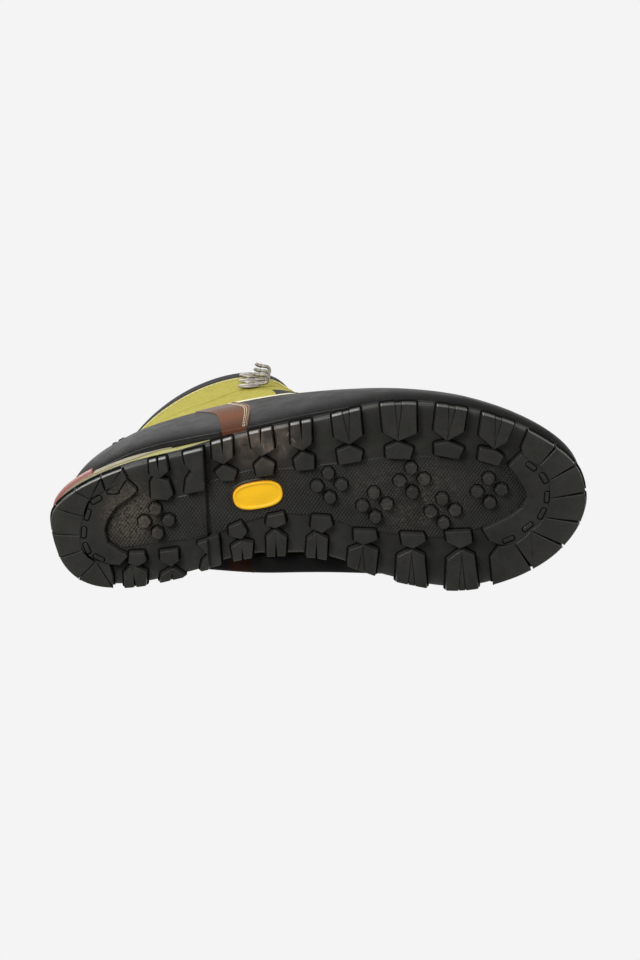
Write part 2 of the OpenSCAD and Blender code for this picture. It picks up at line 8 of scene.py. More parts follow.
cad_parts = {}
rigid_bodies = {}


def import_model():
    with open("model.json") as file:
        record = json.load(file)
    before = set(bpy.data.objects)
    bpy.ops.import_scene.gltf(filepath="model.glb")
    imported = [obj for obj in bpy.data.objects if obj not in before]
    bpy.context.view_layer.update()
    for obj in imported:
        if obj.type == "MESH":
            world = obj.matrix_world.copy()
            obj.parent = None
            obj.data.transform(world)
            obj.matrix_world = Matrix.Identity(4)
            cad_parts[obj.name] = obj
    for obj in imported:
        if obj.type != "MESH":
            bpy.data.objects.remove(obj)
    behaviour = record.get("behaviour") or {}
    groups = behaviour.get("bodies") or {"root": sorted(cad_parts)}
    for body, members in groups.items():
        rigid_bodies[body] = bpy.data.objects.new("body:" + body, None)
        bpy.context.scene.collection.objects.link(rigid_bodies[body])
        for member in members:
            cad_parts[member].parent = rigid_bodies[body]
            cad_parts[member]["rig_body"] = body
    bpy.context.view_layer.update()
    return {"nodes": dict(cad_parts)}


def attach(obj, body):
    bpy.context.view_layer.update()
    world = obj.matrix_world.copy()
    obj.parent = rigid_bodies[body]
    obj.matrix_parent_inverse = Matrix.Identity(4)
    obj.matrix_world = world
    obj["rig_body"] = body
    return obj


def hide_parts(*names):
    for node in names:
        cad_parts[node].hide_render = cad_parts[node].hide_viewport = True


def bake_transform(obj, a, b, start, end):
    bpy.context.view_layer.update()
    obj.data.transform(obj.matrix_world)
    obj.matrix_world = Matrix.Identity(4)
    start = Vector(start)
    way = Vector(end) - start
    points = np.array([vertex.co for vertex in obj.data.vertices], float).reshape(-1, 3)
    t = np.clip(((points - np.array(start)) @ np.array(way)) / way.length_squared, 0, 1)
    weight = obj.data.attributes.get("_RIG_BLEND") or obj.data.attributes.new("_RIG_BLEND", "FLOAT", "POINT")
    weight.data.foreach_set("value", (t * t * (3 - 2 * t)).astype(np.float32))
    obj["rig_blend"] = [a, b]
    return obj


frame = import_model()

MM = 0.001
rng = np.random.default_rng(7)

# ------------------------------------------------------------------ the boot's own geometry, in millimetres
SOLE = np.array([[150, 7], [145, -12], [130, -28], [106, -43], [75, -53], [39, -56], [0, -48.5], [-39, -40.5],
                 [-75, -31.5], [-106, -24.5], [-131, -14.5], [-146, -3], [-150, 9], [-145, 31], [-130, 44],
                 [-106, 46.5], [-75, 41], [-39, 32.5], [0, 33.5], [39, 48], [75, 55.5], [106, 50.5],
                 [130, 39.5], [145, 24]], float)
LAST = np.array([[148, 7], [143, -12], [128, -28], [104, -42], [75, -51], [39, -54], [0, -50], [-39, -43],
                 [-75, -35.5], [-106, -27.5], [-130, -16.5], [-144, -4], [-148, 9], [-143, 28], [-129, 41],
                 [-106, 46], [-75, 47], [-39, 48.5], [0, 49.5], [39, 52], [75, 54], [104, 49],
                 [128, 39], [143, 23]], float)
BACK = np.array([[-141.5, 32], [-141, 43], [-139, 57], [-135, 70], [-129.5, 83], [-123.5, 97], [-117.8, 112],
                 [-115, 130], [-114.5, 150]], float)
FRONT = np.array([[146, 27], [147.5, 39], [137, 55], [108, 67], [72, 79], [38, 95], [12, 112], [-5, 137],
                  [-14, 164]], float)
LUG, BASE, BOARD = 5.0, 4.0, 2.0
FOOTBED_Z = 3.5
MID = 9.0


def ease(w):
    c = np.clip(w, 0, 1)
    return c * c * (3 - 2 * c)


def spl(p0, p1, p2, p3, w):
    return 0.5 * (2 * p1 + (p2 - p0) * w + (2 * p0 - 5 * p1 + 4 * p2 - p3) * w * w
                  + (3 * p1 - p0 - 3 * p2 + p3) * w * w * w)


def around(ctrl, u):
    u = np.asarray(u, float)
    n = len(ctrl)
    s = (u - np.floor(u)) * n
    i = np.minimum(np.floor(s).astype(int), n - 1)
    w = (s - i)[..., None]
    return spl(ctrl[(i - 1) % n], ctrl[i], ctrl[(i + 1) % n], ctrl[(i + 2) % n], w)


def knot(line, t):
    t = np.clip(np.asarray(t, float), 0, 1)
    n = len(line) - 1
    i = np.minimum(n - 1, np.floor(t * n).astype(int))
    w = (t * n - i)[..., None]
    return spl(line[np.maximum(i - 1, 0)], line[i], line[i + 1], line[np.minimum(i + 2, n)], w)


def spring_z(x):
    return 11 * np.clip((np.asarray(x, float) - 85) / 65, 0, 1) ** 1.9


def ground_z(x):
    x = np.asarray(x, float)
    return np.where(x < -63, 3 * np.clip((-134 - x) / 16, 0, 1.2) ** 2,
        3 * (1 - ease((x + 40) / 55))) + spring_z(x)


def stack_z(x):
    x = np.asarray(x, float)
    return 24.5 + (13.5 - 24.5) * ease((x + 106) / 80) + spring_z(x)


def outsole_top(x):
    x = np.asarray(x, float)
    return (11 + (LUG + BASE - 11) * ease((x + 70) / 60)
            + 2.4 * ease((x + 75) / 20) * (1 - ease((x + 40) / 55)) + spring_z(x))


def shaft_y(s):
    s = np.clip(s, 0, 1)
    return 38.5 * (1 - (1 - s) ** 3) ** 0.95 * (1 - s ** 7) ** 0.35


def skin(u, t):
    u, t = np.broadcast_arrays(np.asarray(u, float), np.asarray(t, float))
    t = np.clip(t, 0, 1)
    p = around(LAST, u)
    s = np.clip((p[..., 0] + 148) / 296, 0, 1)
    side = np.where(u - np.floor(u) < 0.5, -1, 1)
    b, f = knot(BACK, t), knot(FRONT, t)
    q = b + (f - b) * s[..., None]
    sag = 32 + (27 - 32) * s - stack_z(q[..., 0]) - BOARD - 0.1
    low = MID + (p[..., 1] - MID) * (1 - 0.15 * t) * (1 - 0.38 * np.sin(np.pi * t) ** 2 * s ** 3)
    high = MID + 3 - 3.5 * s + side * shaft_y(s)
    k = np.clip((t - 0.15) / 0.85, 0, 1) ** 1.25
    y = low + (high - low) * k
    z = q[..., 1] - sag * (1 - np.clip(t / 0.4, 0, 1)) ** 1.5
    return np.stack([q[..., 0], y, z], -1)


def skin_n(u, t):
    u, t = np.broadcast_arrays(np.asarray(u, float), np.asarray(t, float))
    a = skin(u + 0.006, t) - skin(u - 0.006, t)
    b = skin(u, np.minimum(1, t + 0.02)) - skin(u, np.maximum(0, t - 0.02))
    c = np.cross(b, a)
    return c / np.linalg.norm(c, axis=-1, keepdims=True)


def off(u, t, d):
    return skin(u, t) + np.asarray(d, float)[..., None] * skin_n(u, t)


def bisect(f, lo, hi, n=26):
    """The place between arrays lo and hi where f turns from True to False."""
    lo, hi = np.array(lo, float), np.array(hi, float)
    for _ in range(n):
        m = (lo + hi) / 2
        ok = f(m)
        lo, hi = np.where(ok, m, lo), np.where(ok, hi, m)
    return (lo + hi) / 2


def as_u(a, side):
    return a if side < 0 else 1 - a


def u_at_x(x, t, side):
    x, t = np.broadcast_arrays(np.asarray(x, float), np.asarray(t, float))
    return as_u(bisect(lambda m: skin(as_u(m, side), t)[..., 0] > x, np.zeros(x.shape),
        np.full(x.shape, 0.5)), side)


def u_at_gap(g, t, side):
    g, t = np.broadcast_arrays(np.asarray(g, float), np.asarray(t, float))
    return as_u(bisect(lambda m: abs(skin(as_u(m, side), t)[..., 1] - MID) < g, np.zeros(g.shape),
                       np.full(g.shape, 0.3)), side)


def t_at(u, line):
    line = np.array(line, float)
    u = np.asarray(u, float)

    def below(m):
        p = skin(u, m)
        return p[..., 2] < np.interp(p[..., 0], line[:, 0], line[:, 1])
    return bisect(below, np.zeros(u.shape), np.ones(u.shape))


RAND = [[-160, 86], [-130, 80], [-100, 77], [-60, 75], [-20, 71], [20, 62], [60, 54], [100, 51], [160, 60]]
PIVOT = np.array([-62.0, 102.0])
FLEX_LOW = [[-160, 98], [PIVOT[0], PIVOT[1] - 1.5], [20, 114]]
FLEX_HIGH = [[-160, 115], [PIVOT[0], PIVOT[1] + 1.5], [-40, 113], [0, 130]]
THROAT, COLLAR = 0.5, 0.915


def gap_g(t):
    return 9 + 11 * np.clip((np.asarray(t, float) - THROAT) / (1 - THROAT), 0, 1)


# ------------------------------------------------------------------ mesh helpers
def mesh_object(name, verts, faces, body, mat, smooth=True, scale=MM):
    me = bpy.data.meshes.new(name)
    me.from_pydata([tuple(v) for v in np.asarray(verts) * scale], [],
        [tuple(int(k) for k in f) for f in faces])
    me.validate()
    me.update()
    if smooth:
        me.shade_smooth()
    ob = bpy.data.objects.new(name, me)
    bpy.context.scene.collection.objects.link(ob)
    ob.data.materials.append(mat)
    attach(ob, body)
    return ob


def grid_faces(nu, nt, base=0, closed=False):
    f = []
    n = nt + 1
    for i in range(nu):
        for j in range(nt):
            a, b = base + i * n + j, base + ((i + 1) % (nu + 1) if closed else i + 1) * n + j
            f.append((a, a + 1, b + 1, b))
    return f


def modify(ob, kind, **kw):
    m = ob.modifiers.new(kind.title(), kind)
    for k, v in kw.items():
        setattr(m, k, v)
    return m


def patch(name, body, mat, ua, ub, ta, tb, thick, d=0.0, nu=90, nt=24, bevel=0.6, puff=0.0, bump=None):
    """A sheet on the skin between two edges (u as functions of v) and two seams (t as functions of u)."""
    v = np.linspace(0, 1, nt + 1)
    w = np.linspace(0, 1, nu + 1)
    A, B = ua(v), ub(v)
    if A.mean() > B.mean():
        A, B = B, A
    u = A[None, :] + (B - A)[None, :] * w[:, None]
    lo, hi = ta(u), tb(u)
    t = lo + (hi - lo) * v[None, :]
    dd = np.full(u.shape, float(d))
    if puff:
        dd = dd + puff * (1 - (2 * v[None, :] - 1) ** 4) * np.minimum(1, 14 * np.minimum(w, 1 - w))[:, None]
    if bump is not None:
        dd = dd + bump(u, t, w[:, None], v[None, :])
    pts = off(u, t, dd).reshape(-1, 3)
    ob = mesh_object(name, pts, grid_faces(nu, nt), body, mat)
    modify(ob, "SOLIDIFY", thickness=thick * MM, offset=-1.0, use_even_offset=False)
    if bevel:
        modify(ob, "BEVEL", width=bevel * MM, segments=3, limit_method="ANGLE", angle_limit=math.radians(50))
    return ob


def const(a):
    return lambda v: np.full(np.shape(v), float(a))


def line2(a, b):
    return lambda v: a + (b - a) * np.asarray(v, float)


def sweep(pts, radius, sides=10, closed=False, caps=True):
    """Verts and faces of a round tube; radius may be an array."""
    pts = np.asarray(pts, float)
    n = len(pts)
    rad = np.broadcast_to(np.asarray(radius, float), (n,))
    d = np.gradient(pts, axis=0) if not closed else np.roll(pts, -1, 0) - np.roll(pts, 1, 0)
    d /= np.linalg.norm(d, axis=1, keepdims=True)
    ref = np.array([0, 0, 1.0]) if abs(d[0][2]) < 0.9 else np.array([1.0, 0, 0])
    verts = []
    s = np.cross(d[0], ref)
    s /= np.linalg.norm(s)
    for i in range(n):
        s = s - d[i] * (s @ d[i])
        s /= np.linalg.norm(s)
        k = np.cross(d[i], s)
        a = np.arange(sides) * 2 * np.pi / sides
        verts.append(pts[i] + rad[i] * (np.cos(a)[:, None] * s + np.sin(a)[:, None] * k))
    verts = np.concatenate(verts)
    faces = []
    for i in range(n if closed else n - 1):
        for j in range(sides):
            a, b = i * sides + j, ((i + 1) % n) * sides + j
            c, e = i * sides + (j + 1) % sides, ((i + 1) % n) * sides + (j + 1) % sides
            faces.append((a, c, e, b))
    if caps and not closed:
        faces.append(tuple(range(sides - 1, -1, -1)))
        faces.append(tuple((n - 1) * sides + j for j in range(sides)))
    return verts, faces


def merge(parts):
    verts, faces, k = [], [], 0
    for v, f in parts:
        verts.append(np.asarray(v, float))
        faces += [tuple(a + k for a in q) for q in f]
        k += len(v)
    return np.concatenate(verts), faces


def stitches(name, body, mat, path, nrm, pitch=3.2, length=2.3, radius=0.33, sink=0.05):
    """A row of thread stitches along a path on the surface."""
    path, nrm = np.asarray(path, float), np.asarray(nrm, float)
    seg = np.linalg.norm(np.diff(path, axis=0), axis=1)
    acc = np.concatenate([[0], np.cumsum(seg)])
    parts = []
    n = max(1, int(acc[-1] / pitch))
    for i in range(n):
        q = (i + 0.5) * acc[-1] / n
        ts = np.linspace(q - length / 2, q + length / 2, 5)
        c = np.stack([np.interp(ts, acc, path[:, k]) for k in range(3)], 1)
        m = np.stack([np.interp(ts, acc, nrm[:, k]) for k in range(3)], 1)
        m /= np.linalg.norm(m, axis=1, keepdims=True)
        lift = radius * np.array([-0.9, 0.55, 0.8, 0.55, -0.9]) - sink
        parts.append(sweep(c + m * lift[:, None], radius * np.array([0.7, 1, 1, 1, 0.7]), 6))
    v, f = merge(parts)
    return mesh_object(name, v, f, body, mat)


def on_path(u, t, d=0.0):
    u, t = np.broadcast_arrays(np.asarray(u, float), np.asarray(t, float))
    return off(u, t, np.zeros(u.shape) + d), skin_n(u, t)


# ------------------------------------------------------------------ materials
class Look:
    """A Principled material with a few short-hands for its nodes."""

    def __init__(self, name, color, rough=0.6, metal=0.0, sheen=0.0, coat=0.0, spec=0.5, sheen_tint=None,
            coat_rough=0.2):
        self.m = bpy.data.materials.new(name)
        self.m.use_nodes = True
        self.t = self.m.node_tree
        self.b = self.t.nodes["Principled BSDF"]
        self.b.inputs["Base Color"].default_value = (*color, 1)
        self.b.inputs["Roughness"].default_value = rough
        self.b.inputs["Metallic"].default_value = metal
        self.b.inputs["Sheen Weight"].default_value = sheen
        self.b.inputs["Sheen Roughness"].default_value = 0.5
        if sheen_tint:
            self.b.inputs["Sheen Tint"].default_value = (*sheen_tint, 1)
        self.b.inputs["Coat Weight"].default_value = coat
        self.b.inputs["Coat Roughness"].default_value = coat_rough
        self.b.inputs["Specular IOR Level"].default_value = spec
        self.co = self.node("ShaderNodeTexCoord").outputs["Object"]
        self.color = self.rgb(color)
        self.height = None

    def node(self, kind, **kw):
        n = self.t.nodes.new(kind)
        for k, v in kw.items():
            setattr(n, k, v)
        return n

    def link(self, a, b):
        self.t.links.new(a, b)

    def put(self, sock, v):
        if isinstance(v, bpy.types.NodeSocket):
            self.link(v, sock)
        else:
            sock.default_value = v

    def rgb(self, c):
        n = self.node("ShaderNodeRGB")
        n.outputs[0].default_value = (*c, 1)
        return n.outputs[0]

    def math(self, op, a, b=0.0, clamp=False):
        n = self.node("ShaderNodeMath", operation=op, use_clamp=clamp)
        self.put(n.inputs[0], a)
        self.put(n.inputs[1], b)
        return n.outputs[0]

    def vec(self, op, a, b=(0, 0, 0)):
        n = self.node("ShaderNodeVectorMath", operation=op)
        self.put(n.inputs[0], a)
        self.put(n.inputs[1], b)
        return n.outputs["Value"] if op in ("DOT_PRODUCT", "DISTANCE", "LENGTH") else n.outputs["Vector"]

    def noise(self, mm, detail=3.0, rough=0.55, stretch=None, distortion=0.0):
        n = self.node("ShaderNodeTexNoise")
        v = self.co if stretch is None else self.vec("MULTIPLY", self.co, stretch)
        self.link(v, n.inputs["Vector"])
        n.inputs["Scale"].default_value = 1000.0 / mm
        n.inputs["Detail"].default_value = detail
        n.inputs["Roughness"].default_value = rough
        n.inputs["Distortion"].default_value = distortion
        return n.outputs["Fac"]

    def cells(self, mm, feature="F1", out="Distance", stretch=None):
        n = self.node("ShaderNodeTexVoronoi", feature=feature)
        v = self.co if stretch is None else self.vec("MULTIPLY", self.co, stretch)
        self.link(v, n.inputs["Vector"])
        n.inputs["Scale"].default_value = 1000.0 / mm
        return n.outputs[out]

    def remap(self, v, a, b, c=0.0, d=1.0, smooth=False):
        n = self.node("ShaderNodeMapRange", clamp=True)
        if smooth:
            n.interpolation_type = "SMOOTHSTEP"
        self.put(n.inputs[0], v)
        for i, k in enumerate((a, b, c, d)):
            n.inputs[1 + i].default_value = k
        return n.outputs[0]

    def waves(self, direction, mm):
        k = 2 * math.pi / (mm * MM)
        d = Vector(direction).normalized() * k
        return self.math("SINE", self.vec("DOT_PRODUCT", self.co, tuple(d)))

    def near(self, centre_mm, r_in, r_out, squash=(1, 1, 1)):
        """1 within r_in of a point, 0 beyond r_out."""
        c = tuple(a * MM * s for a, s in zip(centre_mm, squash))
        p = self.vec("MULTIPLY", self.co, squash)
        return self.remap(self.vec("DISTANCE", p, c), r_in * MM, r_out * MM, 1.0, 0.0, True)

    def mix(self, fac, other, mode="MIX"):
        """Mixes another colour over the base colour."""
        n = self.node("ShaderNodeMix", data_type="RGBA", blend_type=mode)
        self.put(n.inputs["Factor"], fac)
        self.link(self.color, n.inputs[6])
        if isinstance(other, bpy.types.NodeSocket):
            self.link(other, n.inputs[7])
        else:
            n.inputs[7].default_value = (*other, 1)
        self.color = n.outputs[2]

    def rough(self, v):
        self.link(v, self.b.inputs["Roughness"])

    def add_height(self, v, mm):
        """Adds v, about 0 to 1, times mm to the bump height."""
        h = self.math("MULTIPLY", v, mm)
        self.height = h if self.height is None else self.math("ADD", self.height, h)

    def done(self, strength=1.0):
        self.link(self.color, self.b.inputs["Base Color"])
        if self.height is not None:
            n = self.node("ShaderNodeBump")
            n.inputs["Strength"].default_value = strength
            n.inputs["Distance"].default_value = MM
            self.link(self.height, n.inputs["Height"])
            self.link(n.outputs[0], self.b.inputs["Normal"])
        return self.m


def z_of(k):
    n = k.node("ShaderNodeSeparateXYZ")
    k.link(k.co, n.inputs[0])
    return n.outputs


def rubber_look(name, base, rough, knurl=0, dust=True, grain=0.05, spec=0.28):
    k = Look(name, base, rough, spec=spec)
    big = k.noise(22, 3, 0.6)
    fine = k.noise(1.3, 4, 0.65)
    k.mix(k.remap(big, 0.35, 0.75, 0, 0.55), tuple(c * 1.75 + 0.004 for c in base))
    k.mix(k.remap(k.noise(5, 4, 0.7), 0.52, 0.75, 0, 0.35), tuple(c * 0.45 for c in base))
    if dust:
        pit = k.near((-105, 4, 5), 6, 21, (1, 0.8, 0.2))
        mid = k.near((52, 0, 5), 8, 34, (0.8, 1.2, 0.2))
        toe = k.near((98, -6, 5), 3, 18, (1, 1, 0.2))
        waist = k.near((-32, -38, 6), 6, 23, (0.75, 1.0, 0.3))
        speck = k.remap(k.noise(0.9, 2, 0.7), 0.55, 0.7)
        cloud = k.remap(k.noise(7, 4, 0.65), 0.42, 0.66)
        k.mix(k.math("MULTIPLY", k.math("MULTIPLY", pit, k.remap(fine, 0.38, 0.62)), 0.55),
            (0.17, 0.14, 0.10))
        k.mix(k.math("MULTIPLY", k.math("MULTIPLY", mid,
            k.math("MULTIPLY", cloud, k.remap(fine, 0.42, 0.62))), 0.5),
              (0.16, 0.135, 0.10))
        k.mix(k.math("MULTIPLY", k.math("MULTIPLY", toe, k.math("MULTIPLY", cloud, speck)), 0.6),
            (0.19, 0.17, 0.14))
        k.mix(k.math("MULTIPLY", waist, k.remap(k.noise(9, 3, 0.6), 0.35, 0.65, 0.1, 0.8)),
            (0.15, 0.115, 0.09))
        k.mix(k.math("MULTIPLY", speck, k.remap(k.noise(16, 2), 0.56, 0.7, 0, 0.22)), (0.16, 0.14, 0.11))
        line = k.cells(9, "DISTANCE_TO_EDGE", "Distance", (1, 0.45, 1))
        thin = k.remap(line, 0.0, 0.016, 1.0, 0.0)
        where = k.near((-24, -40, 6), 4, 16, (0.8, 1, 0.3))
        k.mix(k.math("MULTIPLY", k.math("MULTIPLY", thin, where), k.remap(k.noise(4, 2), 0.48, 0.6, 0, 0.8)),
              (0.42, 0.39, 0.35))
    k.rough(k.remap(k.noise(9, 4, 0.6), 0.3, 0.7, rough - 0.1, rough + 0.12))
    k.add_height(fine, grain)
    if knurl:
        a, b = k.waves((math.cos(0.62), math.sin(0.62), 0),
            knurl), k.waves((math.cos(-0.62), math.sin(-0.62), 0), knurl)
        k.add_height(k.math("MULTIPLY", k.math("ADD", k.math("ABSOLUTE", a), k.math("ABSOLUTE", b)), 0.5),
            0.55)
    return k


def plain_look(name, base, rough, grain_mm=0.8, bump=0.05, **kw):
    k = Look(name, base, rough, **kw)
    k.mix(k.remap(k.noise(12, 4, 0.6), 0.35, 0.7, 0, 0.5), tuple(c * 0.78 for c in base))
    k.mix(k.remap(k.noise(2.2, 4, 0.7), 0.5, 0.72, 0, 0.25), tuple(min(1, c * 1.2 + 0.01) for c in base))
    k.rough(k.remap(k.noise(6, 3), 0.3, 0.7, max(0.05, rough - 0.08), min(1, rough + 0.1)))
    k.add_height(k.noise(grain_mm, 3, 0.6), bump)
    return k


def suede_look(name, base, warm, dark):
    k = Look(name, base, 0.88, sheen=0.12, spec=0.15, sheen_tint=tuple(min(1, c * 1.3 + 0.15) for c in base))
    k.mix(k.remap(k.noise(14, 4, 0.62), 0.36, 0.68, 0, 0.6), warm)
    k.mix(k.remap(k.noise(3.2, 5, 0.72, (1, 1, 0.6)), 0.47, 0.7, 0, 0.5), dark)
    k.mix(k.remap(k.noise(0.45, 3, 0.8, (1, 1, 0.45)), 0.42, 0.66, 0, 0.4), dark)
    k.mix(k.remap(k.noise(0.5, 2, 0.7, (0.6, 1, 1)), 0.56, 0.72, 0, 0.35),
        tuple(min(1, c * 1.35 + 0.03) for c in base))
    k.add_height(k.noise(0.5, 4, 0.75, (1, 1, 0.5)), 0.22)
    k.add_height(k.noise(3.5, 3, 0.6), 0.25)
    return k


def weave_look(name, base, pitch, depth, tint=1.5, rough=0.9):
    k = Look(name, base, rough, sheen=0.05, spec=0.1)
    a, b, c = k.waves((1, 0, 0.25), pitch), k.waves((0, 1, 0.2), pitch), k.waves((0.2, 0, 1), pitch)
    w = k.math("MULTIPLY", k.math("ADD", k.math("MULTIPLY", a, c), k.math("MULTIPLY", b, c)), 0.5)
    k.mix(k.remap(w, -0.2, 0.8, 0, 0.7), tuple(min(1, x * tint + 0.012) for x in base))
    k.mix(k.remap(k.noise(10, 3), 0.4, 0.7, 0, 0.4), tuple(x * 0.6 for x in base))
    k.mix(k.remap(k.noise(0.8, 2), 0.58, 0.7, 0, 0.3), tuple(min(1, x * 2.2 + 0.02) for x in base))
    k.add_height(k.remap(w, -1, 1), depth)
    k.add_height(k.noise(0.4, 2), 0.08)
    return k


M = {}
M["tread"] = rubber_look("tread_rubber", (0.025, 0.0245, 0.0212), 0.58, spec=0.2).done()
M["tread_low"] = rubber_look("tread_recess_rubber", (0.024, 0.0235, 0.020), 0.33, grain=0.03, spec=0.5).done()
M["knurl"] = rubber_look("tread_knurled_rubber", (0.022, 0.0215, 0.0185), 0.55, knurl=3.2).done(0.9)
M["wall"] = rubber_look("sole_wall_rubber", (0.016, 0.016, 0.015), 0.6, dust=False, spec=0.1).done()
# Near-black groove material: painted shade standing in for the shade in the narrow grooves round the tread blocks.
k = plain_look("tread_groove_painted_shade", (0.0025, 0.0025, 0.0022), 0.85, spec=0.15)
M["groove_painted_shade"] = k.done()

k = plain_look("inlay_rubber", (1.0, 0.56, 0.010), 0.42, 0.6, 0.03, spec=0.4)
M["inlay"] = k.done()
M["inlay_rim"] = plain_look("inlay_rim_rubber", (0.72, 0.27, 0.008), 0.45, 0.6, 0.03).done()
M["foam"] = plain_look("midsole_foam", (0.30, 0.28, 0.085), 0.62, 0.5, 0.05, spec=0.2).done()
M["foam_black"] = plain_look("midsole_black_foam", (0.03, 0.03, 0.028), 0.6, 0.6, 0.05).done()
M["frame"] = plain_look("heel_frame_plastic", (0.23, 0.205, 0.125), 0.5, 0.8, 0.03, spec=0.2).done()
M["welt"] = plain_look("welt_plastic", (0.24, 0.075, 0.06), 0.4, 0.8, 0.03).done()
M["cream"] = plain_look("edge_leather", (0.70, 0.66, 0.46), 0.7, 0.5, 0.08).done()
M["steel"] = plain_look("shank_steel", (0.55, 0.55, 0.56), 0.35, 0.8, 0.02, metal=1.0).done()
M["board"] = plain_look("insole_board", (0.42, 0.33, 0.20), 0.85, 0.6, 0.08).done()
M["stiff"] = plain_look("stiffener_sheet", (0.7, 0.68, 0.62), 0.6, 0.8, 0.05).done()


def rand_look():
    k = Look("rand_rubber", (0.008, 0.008, 0.0078), 0.46, spec=0.05)
    k.mix(k.remap(k.noise(16, 4, 0.6), 0.38, 0.7, 0, 0.5), (0.014, 0.0137, 0.013))
    k.mix(k.math("MULTIPLY", k.remap(k.noise(0.8, 2, 0.7), 0.60, 0.72, 0, 0.5),
        k.remap(k.noise(12, 2), 0.5, 0.62)),
          (0.10, 0.09, 0.075))
    x, y, z = z_of(k)
    k.rough(k.remap(k.noise(11, 4, 0.65), 0.3, 0.7, 0.34, 0.5))
    k.add_height(k.noise(0.6, 3, 0.6), 0.035)
    k.add_height(k.noise(14, 2, 0.5), 0.35)
    return k.done()


M["rand"] = rand_look()


def patch_look(name, painted_shade_scale=1.0):
    """Printed synthetic, grey above and orange-brown below, darker still towards the very bottom;
    painted_shade_scale below 1 is painted shade that darkens every colour of it.
    """
    def tone(*c):
        return tuple(a * painted_shade_scale for a in c)

    k = Look(name, tone(0.125, 0.032, 0.003), 0.55, spec=0.06)
    x, y, z = z_of(k)
    up = k.remap(z, 0.030, 0.074, 0, 1, True)
    k.mix(k.remap(z, 0.043, 0.058, 0, 1, True), tone(0.12, 0.055, 0.03))
    k.mix(k.remap(z, 0.053, 0.070, 0, 0.95, True), tone(0.175, 0.132, 0.118))
    k.mix(k.remap(z, 0.020, 0.034, 0.75, 0, True), tone(0.05, 0.018, 0.008))
    dots = k.cells(1.15, "F1", "Distance")
    k.mix(k.remap(dots, 0.25, 0.5, 0.32, 0), tone(0.035, 0.018, 0.012))
    k.mix(k.remap(k.noise(6, 3), 0.45, 0.7, 0, 0.35), tone(0.06, 0.025, 0.014))
    k.add_height(dots, 0.12)
    return k.done()


M["patch"] = patch_look("patch_synthetic")
# The medial copy is painted shade: the same print with every colour times 0.3.
M["patch_painted_shade"] = patch_look("patch_synthetic_painted_shade", 0.3)
M["suede"] = suede_look("yellow_suede", (0.35, 0.31, 0.045), (0.40, 0.35, 0.07), (0.22, 0.19, 0.028)).done()
M["suede_edge"] = suede_look("yellow_suede_edge", (0.62, 0.57, 0.22), (0.7, 0.64, 0.3),
    (0.45, 0.40, 0.12)).done()
M["black_suede"] = suede_look("black_microfibre", (0.021, 0.021, 0.021), (0.032, 0.031, 0.03),
    (0.012, 0.012, 0.012)).done()
M["trim"] = weave_look("trim_textile", (0.018, 0.018, 0.018), 0.9, 0.14).done()
M["collar"] = weave_look("collar_textile", (0.019, 0.019, 0.02), 1.5, 0.35, 2.0).done()
M["lining"] = weave_look("lining_mesh", (0.05, 0.05, 0.054), 1.7, 0.3, 1.7).done()
M["felt"] = plain_look("footbed_felt", (0.085, 0.088, 0.096), 0.95, 0.5, 0.12, sheen=0.3).done()
M["tongue"] = weave_look("tongue_textile", (0.021, 0.021, 0.022), 1.1, 0.2, 1.6).done()
M["webbing"] = weave_look("loop_webbing", (0.018, 0.018, 0.018), 1.3, 0.25, 1.9).done()
M["thread"] = plain_look("pale_thread", (0.60, 0.57, 0.40), 0.75, 0.4, 0.05).done()
M["thread_yellow"] = plain_look("yellow_thread", (0.62, 0.56, 0.20), 0.75, 0.4, 0.05).done()
M["thread_dark"] = plain_look("dark_thread", (0.03, 0.03, 0.03), 0.75, 0.4, 0.05).done()


def metal_look():
    k = Look("hook_metal", (0.30, 0.275, 0.24), 0.42, metal=0.85, spec=0.5)
    k.mix(k.remap(k.noise(2.5, 4, 0.7), 0.42, 0.68, 0, 0.6), (0.19, 0.17, 0.145))
    k.mix(k.remap(k.noise(0.7, 3, 0.7), 0.52, 0.7, 0, 0.5), (0.45, 0.43, 0.40))
    k.rough(k.remap(k.noise(1.6, 4), 0.3, 0.7, 0.30, 0.55))
    k.add_height(k.noise(0.9, 4, 0.7), 0.06)
    return k.done()


M["metal"] = metal_look()
M["patch_edge"] = plain_look("patch_edge_leather", (0.11, 0.04, 0.016), 0.6, 0.5, 0.06).done()


# ------------------------------------------------------------------ sole
def edge_u(x, side):
    x = np.asarray(x, float)
    return as_u(bisect(lambda m: around(SOLE, as_u(m, side))[..., 0] > x, np.zeros(x.shape),
        np.full(x.shape, 0.5)), side)


def rim(x0, x1, side, n=6):
    """Points of the sole's edge from x0 to x1."""
    return around(SOLE, edge_u(np.linspace(x0, x1, n), side))


def rim_between(p, q, n=6):
    """Points of the sole's edge from near p to near q, the short way."""
    us = np.linspace(0, 1, 720, endpoint=False)
    P = around(SOLE, us)
    a, b = (us[np.argmin(((P - np.array(c)) ** 2).sum(1))] for c in (p, q))
    if b - a > 0.5:
        b -= 1
    if a - b > 0.5:
        b += 1
    return around(SOLE, np.linspace(a, b, n))


def ccw(p):
    p = np.asarray(p, float)
    q = np.roll(p, -1, 0)
    return p if (p[:, 0] * q[:, 1] - q[:, 0] * p[:, 1]).sum() > 0 else p[::-1]


def rounded(poly, r=0.7, skip=20):
    """Rounds the corners of a polygon."""
    p = ccw(poly)
    keep = [i for i in range(len(p)) if np.linalg.norm(p[i] - p[i - 1]) > 0.05]
    p = p[keep]
    out = []
    for i in range(len(p)):
        a, b, c = p[i - 1], p[i], p[(i + 1) % len(p)]
        u, v = a - b, c - b
        lu, lv = np.linalg.norm(u), np.linalg.norm(v)
        u, v = u / lu, v / lv
        turn = 180 - math.degrees(math.acos(np.clip(u @ v, -1, 1)))
        if turn < skip:
            out.append(b)
            continue
        k = min(r * math.tan(math.radians(turn / 2)), 0.42 * lu, 0.42 * lv)
        for w in (0, 0.35, 0.65, 1):
            out.append((1 - w) ** 2 * (b + u * k) + 2 * w * (1 - w) * b + w * w * (b + v * k))
    return np.array(out)


